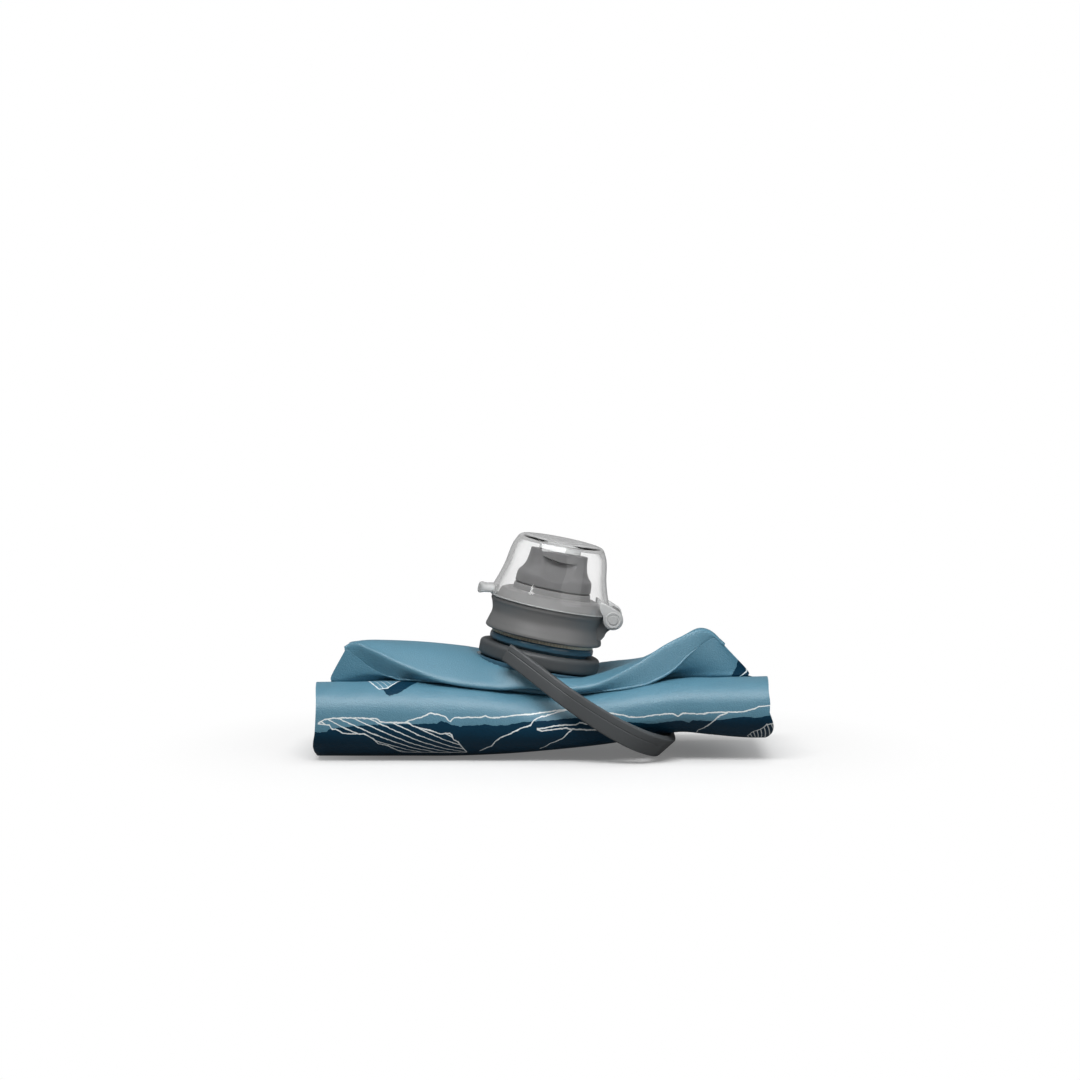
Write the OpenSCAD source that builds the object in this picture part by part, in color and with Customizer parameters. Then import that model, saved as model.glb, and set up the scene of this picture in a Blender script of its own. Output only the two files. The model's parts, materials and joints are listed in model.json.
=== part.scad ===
// Folding water bottle: a soft film pouch rolled up from its base, with a threaded neck,
// a screw cap with a quarter-turn spout, a hinged clear dust cover and an elastic handle
// loop that holds the roll shut.
// Origin: on the floor, under the middle of the roll. +X runs along the roll, +Z is up.

/* [Pouch] */
// Length of the roll, which is the flat width of the pouch
roll_len = 128; // [110:1:150]
// Half of the roll's depth, front to back
roll_half_depth = 24; // [22:0.5:25]
// Height of the roll's crest at its ends
roll_h = 22.2; // [20:0.1:24]
// Thickness of one film
film_t = 0.5; // [0.3:0.05:0.6]
// Gap between neighbouring films
film_gap = 0.3; // [0.2:0.05:0.5]
// Growth of the rolled film's depth in one turn
roll_pitch = 2.2; // [2:0.1:2.4]
// Turns of film in the roll
roll_turns = 1.7; // [1.2:0.05:1.7]

/* [Neck] */
// Lean of the neck towards +X
lean = 11.25; // [0:0.25:15]
// Height of the cap's lower edge above the floor, on the neck's axis
neck_z = 32.7; // [32:0.1:36]
// Root radius of the neck thread
thread_root_r = 12.4; // [12:0.05:12.6]
// Depth of the neck thread
thread_depth = 1.3; // [0.8:0.1:1.4]
// Rise of the thread in one turn
thread_pitch = 3.2; // [2.7:0.1:3.5]
// Bore radius of the neck
neck_bore_r = 10.6; // [9:0.1:11]
// Radius of the soft collar under the thread
collar_r = 13.3; // [13:0.1:13.5]

/* [Cap] */
// Radius of the cap at its widest
cap_r = 16.4; // [16.2:0.1:16.6]
// Height of the cap's grip wall
cap_h = 9; // [8.9:0.1:9.1]
// Height of the deck under the spout
deck_h = 12; // [11.5:0.1:12.4]
// Radius of the spout's body
spout_r = 10.6; // [10:0.1:11]
// Height of the spout's top above the cap's lower edge
spout_top = 24.2; // [23.5:0.1:24.4]

/* [Dust cover] */
// Outer radius of the cover's skirt
cover_r = 16.8; // [16.7:0.05:17]
// Wall of the cover
cover_t = 1.1; // [0.9:0.05:1.2]
// Height of the cover's roof above the cap's lower edge
cover_top = 27.6; // [27.4:0.1:29]
// Distance of the cover's hinge from the neck's axis
hinge_s = 18.1; // [18:0.05:18.4]
// Height of the cover's hinge above the cap's lower edge
hinge_t = 8.9; // [8.8:0.05:9]

/* [Handle] */
// Outer radius of the handle ring
ring_r = 17; // [16.5:0.1:17.2]
// Height of the handle ring
ring_h = 4.2; // [3.5:0.1:4.4]
// Width of the handle loop's band
band_w = 6; // [5:0.1:6.2]
// Thickness of the handle loop's band
band_t = 2.3; // [1.8:0.1:2.4]
// Reach of the loop from its root to the middle of its end
loop_reach = 49.6; // [49.4:0.1:49.8]
// Slope of the loop below level, where it is stretched round the roll
loop_slope = 31.2; // [31:0.1:31.4]

/* [Hidden] */
$fn = 96;

// Colours
film_blue = [0.40, 0.57, 0.66];
collar_blue = [0.20, 0.33, 0.42];
ivory = [0.80, 0.77, 0.68];
mid_grey = [0.42, 0.42, 0.42];
dark_grey = [0.30, 0.31, 0.32];
loop_grey = [0.27, 0.28, 0.29];
clear = [0.90, 0.92, 0.93, 0.4];
black = [0.10, 0.10, 0.10];

// Roll: a rounded box section whose top is low behind the crest and flat under its middle.
roundness = 0.6;
crest_peak = 0.963;
back_drop = 0.3;
crest_y = -15;
drop_run = 14;
sag_x = 5;
sag_depth = 3.9;
sag_width = 23;
floor_sink = 0.8;
turn_start = 96;
turn_step = 18;
sink_start = 306;
seam_turn = turn_start + 360;
roll_stations = [-0.5, -0.36, -0.17, -0.04, 0.0625, 0.17, 0.25, 0.29, 0.34, 0.45, 0.5];
lift_points = [[8, 0], [22, 3.8], [32, 6.4], [37, 7.0], [44, 6.2], [58, 5.2]];

// Shoulder: heights of its ridge and of its front fold along the roll.
ridge_points = [
    [-60, 20.6], [-54, 29.6], [-34, 29.8], [-18, 28.0], [0, 24.6], [14, 22.6], [19, 24.6],
    [27, 25.6], [36, 27.6], [46, 33.5], [49, 31.8], [57, 22.6],
];
fold_points = [[-60, 20.4], [-54, 29.0], [-32, 22.6], [-10, 20.2], [5, 19.3], [22, 21.3], [45, 32.6], [57, 22.3]];
fold_y_points = [[-60, -12], [-54, -10], [-32, -17], [5, -18.4], [22, -17.5], [45, -9], [57, -12]];
shoulder_stations = [-59, -54, -45, -32, -18, -8, 5, 14, 22, 34, 46, 50, 56];
ridge_y = 0.3;
back_y = 16.5;
film_clear = 0.35;
spline_steps = 4;

// Neck, along the cap's axis from the cap's lower edge (t = 0)
neck_top = 9.0;
neck_foot = -9.6;
insert_r = 11.9;
fit_gap = 0.05;
flange_r = 14.7;
flange_top = -1.2;
flange_mid = -2.05;
flange_low = -2.9;
lip_groove = 0.6;
weld_flange_r = 17.3;
weld_flange_t = 1.2;
ring_top = -3.6;
ring_low = ring_top - ring_h;
pocket_r = 17.7;
pocket_t = ring_low - 0.3;
running_gap = 0.08;

// Thread
thread_land = 0.9;
thread_foot_w = 1.9;
thread_bite = 0.2;
thread_steps = 30;
thread_clear = 0.3;
neck_thread_start = 1.4;
neck_thread_turns = 1.8;
cap_thread_start = neck_thread_start + thread_pitch/2;
cap_thread_turns = 1.4;

// Cap and spout valve
cap_bore_r = thread_root_r + thread_depth + thread_clear;
gasket_t = 0.9;
gasket_low = neck_top + fit_gap;
deck_low = gasket_low + gasket_t + fit_gap;
tower_r = 6;
tower_bore_r = 4.2;
tower_top = 19.4;
tower_roof_t = 1.2;
port_w = 5;
port_h = 2.2;
port_t = 16.6;
groove_depth = 1.08;
o_ring_r = 0.55;
o_ring_heights = [14.7, 18.2];
spout_low = 13.9;
sleeve_wall = 1.2;
spout_wall = 1.6;
spout_mouth_r = 4;
scoop_r = 12;
scoop_reach = 17.6;
scoop_t = 18.9;

// Hinge
knuckle_r = 2.5;
knuckle_half = 6;
lug_low = 3.6;
lug_sweep_r = 2.7;
pin_r = 1.1;
pin_half = 9.4;
arm_r = 2.8;
arm_inner = 6.3;
arm_outer = 9.1;
plug_r = 5.9;
plug_wall = 1.2;
tab_reach = 20.5;
tab_half = 5;
tab_low = 9.6;
tab_t = 1.6;

// Handle
eye_r = 3.2;
stub_r = 2;
root_s = -6;
root_t = (ring_top + ring_low)/2;
loop_root_q = 18.9;
loop_wide_q = 25.6;
flare_end = 18;
bend_start = 28;
bend_power = 4;
loop_samples = 28;

// ---- Shared helpers ----

function smooth(v) = let (c = min(1, max(0, v))) c*c*(3 - 2*c);

// A sine or cosine raised to a power, with its sign kept.
function bulge(v) = sign(v)*pow(abs(v), roundness);

// One point of a smooth curve between b and c, with a and d as its neighbours.
function spline_at(a, b, c, d, u) =
    b + u*(c - a)/2 + u*u*(a - 2.5*b + 2*c - d/2) + u*u*u*(1.5*(b - c) + (d - a)/2);

// A smooth curve through the given points.
function spline(p) = let (last = len(p) - 1) [
    for (i = [0:last - 1], k = [0:spline_steps - 1])
        spline_at(p[max(0, i - 1)], p[i], p[i + 1], p[min(last, i + 2)], k/spline_steps),
    p[last],
];

// The curve moved sideways, to its left, by d.
function shifted(p, d) = [
    for (i = [0:len(p) - 1])
        let (along = p[min(len(p) - 1, i + 1)] - p[max(0, i - 1)], l = norm(along))
        p[i] + d*[-along[1], along[0]]/l
];

function placed(x, section) = [for (q = section) [x, q[0], q[1]]];

// A closed thin sheet between two equal grids of points.
module sheet(outer, inner) {
    rows = len(outer);
    cols = len(outer[0]);
    half = rows*cols;
    function at(side, i, j) = side*half + i*cols + j;
    function quad(a, b, c, d) = [[a, b, c], [a, c, d]];
    skins = [for (i = [0:rows - 2], j = [0:cols - 2]) each concat(
        quad(at(0, i, j), at(0, i + 1, j), at(0, i + 1, j + 1), at(0, i, j + 1)),
        quad(at(1, i, j), at(1, i, j + 1), at(1, i + 1, j + 1), at(1, i + 1, j))
    )];
    ends = [for (j = [0:cols - 2]) each concat(
        quad(at(0, 0, j), at(0, 0, j + 1), at(1, 0, j + 1), at(1, 0, j)),
        quad(at(0, rows - 1, j + 1), at(0, rows - 1, j), at(1, rows - 1, j), at(1, rows - 1, j + 1))
    )];
    edges = [for (i = [0:rows - 2]) each concat(
        quad(at(0, i + 1, 0), at(0, i, 0), at(1, i, 0), at(1, i + 1, 0)),
        quad(at(0, i, cols - 1), at(0, i + 1, cols - 1), at(1, i + 1, cols - 1), at(1, i, cols - 1))
    )];
    polyhedron(concat([for (r = outer) each r], [for (r = inner) each r]), concat(skins, ends, edges));
}

// Puts its children in the neck's own frame: the cap's lower edge is z = 0.
module on_neck() {
    translate([0, 0, neck_z])
        rotate([0, lean, 0])
            children();
}

module tube(outer_r, inner_r, low, high) {
    translate([0, 0, low])
        difference() {
            cylinder(r = outer_r, h = high - low);
            translate([0, 0, -1])
                cylinder(r = inner_r, h = high - low + 2);
        }
}

// A cylinder across the neck, along Y, centred on [s, t].
module cross_rod(s, t, r, half) {
    translate([s, 0, t])
        rotate([90, 0, 0])
            cylinder(r = r, h = 2*half, center = true);
}

// A helical ridge on a wall: it is thick at foot_r and thin at tip_r.
module helix(foot_r, tip_r, start, turns) {
    count = ceil(turns*thread_steps);
    foot = thread_foot_w/2;
    tip = thread_land/2;
    // Both ends of the ridge fade into the wall.
    function fade(i) = min(1, min(i, count - i)/4);
    function section(i) =
        let (
            a = 360*i/thread_steps,
            z = start + thread_pitch*i/thread_steps,
            top_r = foot_r + (tip_r - foot_r)*max(0.2, fade(i))
        )
        [for (q = [[foot_r, -foot], [top_r, -tip], [top_r, tip], [foot_r, foot]])
            [q[0]*cos(a), q[0]*sin(a), z + q[1]]];
    rings = [for (i = [0:count]) each section(i)];
    inward = tip_r < foot_r;
    sides = [for (i = [0:count - 1], j = [0:3])
        let (a = 4*i + j, b = 4*i + (j + 1)%4)
        each [[a, b, b + 4], [a, b + 4, a + 4]]];
    caps = [[0, 3, 2], [0, 2, 1], [4*count, 4*count + 1, 4*count + 2], [4*count, 4*count + 2, 4*count + 3]];
    faces = concat(sides, caps);
    polyhedron(rings, inward ? [for (f = faces) [f[2], f[1], f[0]]] : faces);
}

// ---- Pouch ----

function lift_at(x) = lookup(x, lift_points);
function crest_at(x) = roll_h + 0.012*x - sag_depth*exp(-pow((x - sag_x)/sag_width, 2));
function mid_at(x) = (crest_at(x) + lift_at(x))/2;
function top_b(x) = (crest_at(x) - mid_at(x))/crest_peak;
function low_b(x) = mid_at(x) - lift_at(x) + floor_sink;
function drop_at(y) = 1 - back_drop*smooth((y - crest_y)/drop_run);

// A point of the roll's section at angle a, sunk into the roll by depth.
function roll_point(x, a, depth) =
    let (
        y = (roll_half_depth - depth)*bulge(cos(a)),
        up = sin(a) > 0,
        z = mid_at(x) + (up ? (top_b(x) - depth)*drop_at(y) : low_b(x) - depth)*bulge(sin(a))
    )
    [x, y, max(z, lift_at(x) + depth)];

// Height of the roll's upper surface at [x, y].
function roll_top(x, y) =
    mid_at(x) + top_b(x)*drop_at(y)*pow(1 - pow(abs(y)/roll_half_depth, 2/roundness), roundness/2);

function roll_angles() = [for (a = [turn_start:turn_step:turn_start + 360*roll_turns]) a];

// How far the spiral has sunk at angle a: the first turn stays outermost until it is past the floor.
function sunk(a) =
    a < seam_turn
    ? roll_pitch*max(0, a - sink_start)/(seam_turn - sink_start)
    : roll_pitch*(1 + (a - seam_turn)/360);

function roll_skin(depth) = [
    for (f = roll_stations)
        [for (a = roll_angles()) roll_point(f*roll_len, a, depth + sunk(a))]
];

module front_panel_roll() {
    color(film_blue)
        sheet(roll_skin(0), roll_skin(film_t));
}

module back_panel_roll() {
    depth = film_t + film_gap;
    color(film_blue)
        sheet(roll_skin(depth), roll_skin(depth + film_t));
}

// The folded base: a flat strip doubled over in the core of the roll.
module base_gusset() {
    reach = 11;
    rise = 0.75;
    function strip(x, t) = placed(x, shifted([
        [reach, mid_at(x) + rise],
        [-reach, mid_at(x) + rise],
        [-reach - rise, mid_at(x)],
        [-reach, mid_at(x) - rise],
        [reach, mid_at(x) - rise],
    ], t));
    stations = [for (f = roll_stations) 0.98*f*roll_len];
    color(film_blue)
        sheet([for (x = stations) strip(x, 0)], [for (x = stations) strip(x, film_t)]);
}

// The front panel leaves the roll behind its crest, folds forward and runs up to the ridge.
function front_section(x) = let (
    ridge = lookup(x, ridge_points),
    fold = lookup(x, fold_points),
    fold_y = lookup(x, fold_y_points)
) spline([
    [-4, roll_top(x, -4) + film_clear + film_t],
    [-9, roll_top(x, -9) + film_clear + film_t],
    [fold_y + 3, max(fold - 0.8, roll_top(x, fold_y + 3) + film_clear + film_t)],
    [fold_y, max(fold, roll_top(x, fold_y) + 1)],
    [(fold_y - 4)/2, (fold + ridge)/2 + 1.1],
    [0, ridge],
]);

// The back panel runs from the ridge to the rear fold and forward again over the roll.
function back_section(x) = let (
    ridge = lookup(x, ridge_points),
    under = roll_top(x, back_y)
) spline([
    [ridge_y, ridge],
    [back_y*0.7, (2*ridge + under + 2)/3],
    [back_y, (ridge + 2*under)/3 + 1],
    [back_y - 3, roll_top(x, back_y - 3) + film_clear + film_t],
    [5, roll_top(x, 5) + film_clear + film_t],
    [-3, roll_top(x, -3) + film_clear + film_t],
]);

// Room for the neck and the handle ring in the shoulder's films.
module neck_pocket() {
    on_neck()
        translate([0, 0, pocket_t - weld_flange_t - 0.3])
            cylinder(r = pocket_r, h = 20);
}

module front_panel_shoulder() {
    sections = [for (x = shoulder_stations) front_section(x)];
    color(film_blue)
        difference() {
            sheet(
                [for (i = [0:len(sections) - 1]) placed(shoulder_stations[i], sections[i])],
                [for (i = [0:len(sections) - 1]) placed(shoulder_stations[i], shifted(sections[i], -film_t))]
            );
            neck_pocket();
        }
}

module back_panel_shoulder() {
    sections = [for (x = shoulder_stations) back_section(x)];
    color(film_blue)
        difference() {
            sheet(
                [for (i = [0:len(sections) - 1]) placed(shoulder_stations[i], sections[i])],
                [for (i = [0:len(sections) - 1]) placed(shoulder_stations[i], shifted(sections[i], -film_t))]
            );
            neck_pocket();
        }
}

// ---- Neck ----

// Soft moulding: a weld flange, the collar the handle ring turns on and a two-lip flange.
module neck_fitment() {
    weld_low = pocket_t - weld_flange_t;
    color(collar_blue)
        on_neck()
            rotate_extrude()
                polygon([
                    [insert_r + fit_gap, weld_low],
                    [weld_flange_r, weld_low],
                    [weld_flange_r, pocket_t],
                    [collar_r, pocket_t],
                    [collar_r, flange_low],
                    [flange_r, flange_low],
                    [flange_r, flange_mid - 0.1],
                    [flange_r - lip_groove, flange_mid],
                    [flange_r, flange_mid + 0.1],
                    [flange_r, flange_top],
                    [insert_r + fit_gap, flange_top],
                ]);
}

// Rigid insert with the bottle's outer thread.
module neck_finish() {
    color(ivory)
        on_neck() {
            difference() {
                union() {
                    translate([0, 0, neck_foot])
                        cylinder(r = insert_r, h = flange_top - neck_foot + 1);
                    translate([0, 0, flange_top + fit_gap])
                        cylinder(r = thread_root_r, h = neck_top - flange_top - fit_gap);
                    helix(thread_root_r - thread_bite, thread_root_r + thread_depth,
                        neck_thread_start, neck_thread_turns);
                }
                translate([0, 0, neck_foot - 1])
                    cylinder(r = neck_bore_r, h = neck_top - neck_foot + 2);
            }
        }
}

// ---- Handle ----

// A ring of rounded section round the collar, with a stub each side for the loop's root.
module handle_ring() {
    inner = collar_r + running_gap;
    corner = 1.2;
    color(loop_grey)
        on_neck()
            difference() {
                union() {
                    rotate_extrude()
                        union() {
                            translate([inner, ring_low])
                                square([ring_r - corner - inner, ring_h]);
                            translate([inner, ring_low + corner])
                                square([ring_r - inner, ring_h - 2*corner]);
                            for (t = [ring_low + corner, ring_top - corner])
                                translate([ring_r - corner, t])
                                    circle(r = corner);
                        }
                    cross_rod(root_s, root_t, stub_r, loop_root_q + band_t/2 - 0.3);
                }
                translate([0, 0, ring_low - 1])
                    cylinder(r = inner, h = ring_h + 2);
            }
}

// Half-width of the loop at a distance p from its root.
function loop_q(p, reach, wide) =
    p < bend_start
    ? loop_root_q + (wide - loop_wide_q) + (loop_wide_q - loop_root_q)*smooth(p/flare_end)
    : wide*pow(max(0, 1 - pow((p - bend_start)/(reach - bend_start), bend_power)), 1/bend_power);

// The outline of the loop, in its own plane, moved outwards by d.
function loop_outline(d) = let (
    reach = loop_reach + d,
    side = [for (i = [0:loop_samples])
        let (p = reach*sin(90*i/loop_samples)) [p, loop_q(p, reach, loop_wide_q + d)]]
) concat(side, [for (i = [loop_samples - 1:-1:0]) [side[i][0], -side[i][1]]]);

// The loop's band stands on edge, like a belt round the roll.
module handle_strap() {
    color(loop_grey)
        translate([root_x(), 0, root_z()])
            rotate([0, loop_slope, 0])
                difference() {
                    union() {
                        linear_extrude(band_w, center = true)
                            difference() {
                                polygon(loop_outline(band_t/2));
                                polygon(concat([[-1, loop_root_q - band_t/2]], loop_outline(-band_t/2),
                                    [[-1, band_t/2 - loop_root_q]]));
                            }
                        for (side = [-1, 1])
                            translate([0, side*loop_root_q, 0])
                                rotate([90, 0, 0])
                                    cylinder(r = eye_r, h = band_t, center = true);
                    }
                    rotate([90, 0, 0])
                        cylinder(r = stub_r + running_gap, h = 60, center = true);
                }
}

// The loop's root, from the handle ring's own place on the leaning neck.
function root_x() = root_s*cos(lean) + root_t*sin(lean);
function root_z() = neck_z - root_s*sin(lean) + root_t*cos(lean);

// ---- Cap ----

module cap_gasket() {
    color(black)
        on_neck()
            tube(cap_bore_r - 0.4, neck_bore_r - 0.4, gasket_low, gasket_low + gasket_t);
}

// Grip wall with a drawn-in waist, the shoulder, the deck and the valve tower.
module cap_profile() {
    edge = 0.5;
    polygon([
        [cap_bore_r, 0],
        [cap_r - edge, 0],
        [cap_r, edge],
        [cap_r - 0.6, 2.2],
        [cap_r - 1, 4.8],
        [cap_r - 0.6, 6.8],
        [cap_r - 0.1, 8.1],
        [cap_r - 0.1, cap_h],
        [cap_r - 1.2, cap_h],
        [cap_r - 2.6, deck_h - 0.4],
        [cap_r - 3, deck_h],
        [spout_r + 0.2, deck_h],
        [spout_r + 0.2, spout_low - 0.2],
        [tower_r, spout_low - 0.2],
        [tower_r, tower_top],
        [0, tower_top],
        [0, tower_top - tower_roof_t],
        [tower_bore_r, tower_top - tower_roof_t],
        [tower_bore_r, deck_low],
        [cap_bore_r, deck_low],
    ]);
}

module cap_lug() {
    difference() {
        union() {
            cross_rod(hinge_s, hinge_t, knuckle_r, knuckle_half);
            translate([cap_bore_r + 0.4, -knuckle_half, lug_low])
                cube([hinge_s - cap_bore_r - 0.4, 2*knuckle_half, cap_h - lug_low]);
        }
        cross_rod(hinge_s, hinge_t, pin_r, knuckle_half + 1);
        // The underside of the lug sweeps out to the knuckle.
        cross_rod(hinge_s + 1.4, lug_low + 0.3, lug_sweep_r, knuckle_half + 1);
    }
}

module cap_base() {
    color(mid_grey)
        on_neck() {
            difference() {
                rotate_extrude()
                    cap_profile();
                for (t = o_ring_heights)
                    tube(tower_r + 1, tower_r - groove_depth, t - o_ring_r - 0.05, t + o_ring_r + 0.05);
                translate([-port_w/2, -tower_r - 1, port_t - port_h/2])
                    cube([port_w, 2*tower_r + 2, port_h]);
                cross_rod(hinge_s, hinge_t, pin_r, knuckle_half + 1);
            }
            cap_lug();
            helix(cap_bore_r + thread_bite, thread_root_r + thread_clear, cap_thread_start, cap_thread_turns);
        }
}

module hinge_pin() {
    color(mid_grey)
        on_neck()
            cross_rod(hinge_s, hinge_t, pin_r, pin_half);
}

// Two seals in the tower's grooves, below and above the ports.
module valve_o_rings() {
    color(black)
        on_neck()
            for (t = o_ring_heights)
                translate([0, 0, t])
                    rotate_extrude()
                        translate([tower_r - groove_depth + o_ring_r + 0.03, 0])
                            circle(r = o_ring_r, $fn = 32);
}

// ---- Spout ----

// Outer shell, mouth and the sleeve that turns on the tower.
module spout_profile() {
    sleeve_r = tower_r + running_gap;
    difference() {
        polygon([
            [sleeve_r, spout_low],
            [spout_r, spout_low],
            [spout_r - 0.1, 16.2],
            [spout_r - 0.4, 17.3],
            [spout_r - 1.4, 18.5],
            [spout_r - 2, 19.9],
            [spout_r - 2.4, 21.8],
            [spout_r - 2.7, spout_top - 0.3],
            [spout_r - 3, spout_top],
            [spout_mouth_r, spout_top],
            [spout_mouth_r, 22],
            [sleeve_r, 21],
        ]);
        // Water runs up this annular space, over the sleeve and out of the mouth.
        polygon([
            [sleeve_r + sleeve_wall, 15.2],
            [spout_r - spout_wall, 15.2],
            [spout_r - spout_wall - 0.4, 17.8],
            [sleeve_r + sleeve_wall, 19.6],
        ]);
    }
}

module spout() {
    color(dark_grey)
        on_neck()
            difference() {
                rotate_extrude()
                    spout_profile();
                // Finger scoops, front and back
                for (side = [-1, 1])
                    translate([0, side*scoop_reach, scoop_t])
                        rotate([0, 90, 0])
                            cylinder(r = 9.2, h = 11.4, center = true);
                // Sleeve ports, a quarter turn away from the tower's ports
                translate([-tower_r - 1.6, -port_w/2, port_t - port_h/2])
                    cube([2*tower_r + 3.2, port_w, port_h]);
            }
}

// ---- Dust cover ----

function cover_line(d) = [
    [cover_r - d, cap_h + 0.05],
    [cover_r - d, 11.4],
    [cover_r - 0.5 - d, 12.6],
    [cover_r - 2.4 - d, 18.4],
    [cover_r - 3 - d, 22.2],
    [cover_r - 3.6 - d, 24.6],
    [cover_r - 4.8 - d, 26.8 - d],
    [cover_r - 5.6 - d, cover_top - d],
];

module cover_shell() {
    outer = cover_line(0);
    inner = cover_line(cover_t);
    rotate_extrude() {
        polygon(concat(
            outer,
            [[0, cover_top], [0, cover_top - cover_t]],
            [for (i = [len(inner) - 1:-1:0]) inner[i]]
        ));
        // The plug ring that stands on the spout's rim.
        translate([plug_r - plug_wall, spout_top + 0.1])
            square([plug_wall, cover_top - cover_t/2 - spout_top - 0.1]);
    }
}

// One arm: a disc on the hinge pin and a web up to the shell.
module cover_arm() {
    thickness = arm_outer - arm_inner;
    difference() {
        union() {
            cross_rod(hinge_s, hinge_t, arm_r, thickness/2);
            rotate([90, 0, 0])
                linear_extrude(thickness, center = true)
                    polygon([
                        [hinge_s - 4.7, hinge_t + 0.6],
                        [hinge_s - 2.6, hinge_t + 0.6],
                        [hinge_s + 2.4, hinge_t + 1.4],
                        [hinge_s - 1.5, hinge_t + 3.7],
                        [hinge_s - 4.7, hinge_t + 4.3],
                    ]);
        }
        cross_rod(hinge_s, hinge_t, pin_r + running_gap, thickness);
    }
}

module cover_tab() {
    translate([0, 0, tab_low])
        intersection() {
            linear_extrude(tab_t)
                union() {
                    translate([-tab_reach + tab_half, 0])
                        circle(r = tab_half);
                    translate([-tab_reach + tab_half, -tab_half])
                        square([tab_half, 2*tab_half]);
                }
            difference() {
                translate([-tab_reach - 1, -tab_half - 1, -1])
                    cube([tab_half + 2, 2*tab_half + 2, tab_t + 2]);
                translate([0, 0, -2])
                    cylinder(r = cover_r - cover_t/2, h = tab_t + 4);
            }
        }
}

module dust_cover() {
    color(clear)
        on_neck() {
            difference() {
                cover_shell();
                cross_rod(hinge_s, hinge_t, knuckle_r + 0.3, arm_inner);
            }
            for (side = [-1, 1])
                difference() {
                    translate([0, side*(arm_inner + arm_outer)/2, 0])
                        cover_arm();
                    translate([0, 0, 2])
                        cylinder(r = cover_r - cover_t, h = 16);
                }
            cover_tab();
        }
}

front_panel_roll();
back_panel_roll();
base_gusset();
front_panel_shoulder();
back_panel_shoulder();
neck_fitment();
neck_finish();
handle_ring();
handle_strap();
cap_gasket();
cap_base();
hinge_pin();
valve_o_rings();
spout();
dust_cover();
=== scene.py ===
"""Folding water bottle: film pouch rolled up from its base, neck, cap, spout, clear cover and handle loop.

Lengths are millimetres in the row frame, and mesh_object() turns them into metres. The lamps and
the camera are placed in metres.
"""
import json
import math

import bmesh
import bpy
import numpy as np
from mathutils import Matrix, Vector


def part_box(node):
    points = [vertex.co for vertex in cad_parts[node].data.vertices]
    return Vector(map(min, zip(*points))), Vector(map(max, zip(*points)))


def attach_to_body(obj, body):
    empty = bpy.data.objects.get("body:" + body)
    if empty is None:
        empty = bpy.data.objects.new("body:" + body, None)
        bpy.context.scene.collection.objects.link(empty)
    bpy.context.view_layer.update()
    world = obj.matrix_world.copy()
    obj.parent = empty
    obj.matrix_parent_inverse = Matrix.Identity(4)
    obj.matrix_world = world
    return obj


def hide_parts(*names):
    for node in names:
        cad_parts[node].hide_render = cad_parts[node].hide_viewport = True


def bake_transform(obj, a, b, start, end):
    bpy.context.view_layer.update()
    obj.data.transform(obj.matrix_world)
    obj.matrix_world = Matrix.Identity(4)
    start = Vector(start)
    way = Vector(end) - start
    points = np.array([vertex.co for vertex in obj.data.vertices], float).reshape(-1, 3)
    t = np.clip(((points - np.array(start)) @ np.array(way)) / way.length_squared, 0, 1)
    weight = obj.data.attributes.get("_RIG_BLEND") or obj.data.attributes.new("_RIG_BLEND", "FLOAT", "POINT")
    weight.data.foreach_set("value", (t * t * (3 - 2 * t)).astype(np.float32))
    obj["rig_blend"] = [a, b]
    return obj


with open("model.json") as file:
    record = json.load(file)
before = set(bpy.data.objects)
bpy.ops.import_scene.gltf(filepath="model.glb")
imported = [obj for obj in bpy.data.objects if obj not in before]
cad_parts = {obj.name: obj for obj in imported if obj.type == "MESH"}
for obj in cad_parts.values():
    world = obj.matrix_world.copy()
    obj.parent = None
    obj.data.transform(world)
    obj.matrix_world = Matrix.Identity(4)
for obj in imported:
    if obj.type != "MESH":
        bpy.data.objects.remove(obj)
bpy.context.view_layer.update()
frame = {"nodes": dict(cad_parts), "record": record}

MM = 0.001

# ---- Places taken from the frame ----

JOINTS = {j["name"]: j for j in frame["record"]["behaviour"]["joints"]}
NECK_AXIS = np.array(JOINTS["cap_turn"]["axis"])
NECK_BASE = np.array(JOINTS["cap_turn"]["pos_m"]) / MM
LEAN = math.atan2(NECK_AXIS[0], NECK_AXIS[2])


ROLL_LOW, ROLL_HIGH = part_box("front_panel_roll")
HALF_LEN = (ROLL_HIGH[0] - ROLL_LOW[0]) / 2 / MM


def neck_local(point):
    """Distances across (x), along Y and up the leaning neck, from the cap's lower edge."""
    d = np.asarray(point, float) - NECK_BASE
    c, s = math.cos(LEAN), math.sin(LEAN)
    return np.stack([d[..., 0] * c - d[..., 2] * s, d[..., 1], d[..., 0] * s + d[..., 2] * c], -1)


def neck_world(point):
    """The place in the row frame of a point given in the leaning neck's own distances."""
    p = np.asarray(point, float)
    c, s = math.cos(LEAN), math.sin(LEAN)
    turned = np.stack([p[..., 0] * c + p[..., 2] * s, p[..., 1], -p[..., 0] * s + p[..., 2] * c], -1)
    return turned + NECK_BASE


HINGE = neck_local(np.array(JOINTS["cover_hinge"]["pos_m"]) / MM)
LOOP_ROOT = np.array(JOINTS["handle_swing"]["pos_m"]) / MM

# ---- Small shared helpers ----


def smooth(v):
    """0 below 0 and 1 above 1, with an even S-shaped step between."""
    c = np.clip(v, 0, 1)
    return c * c * (3 - 2 * c)


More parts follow.
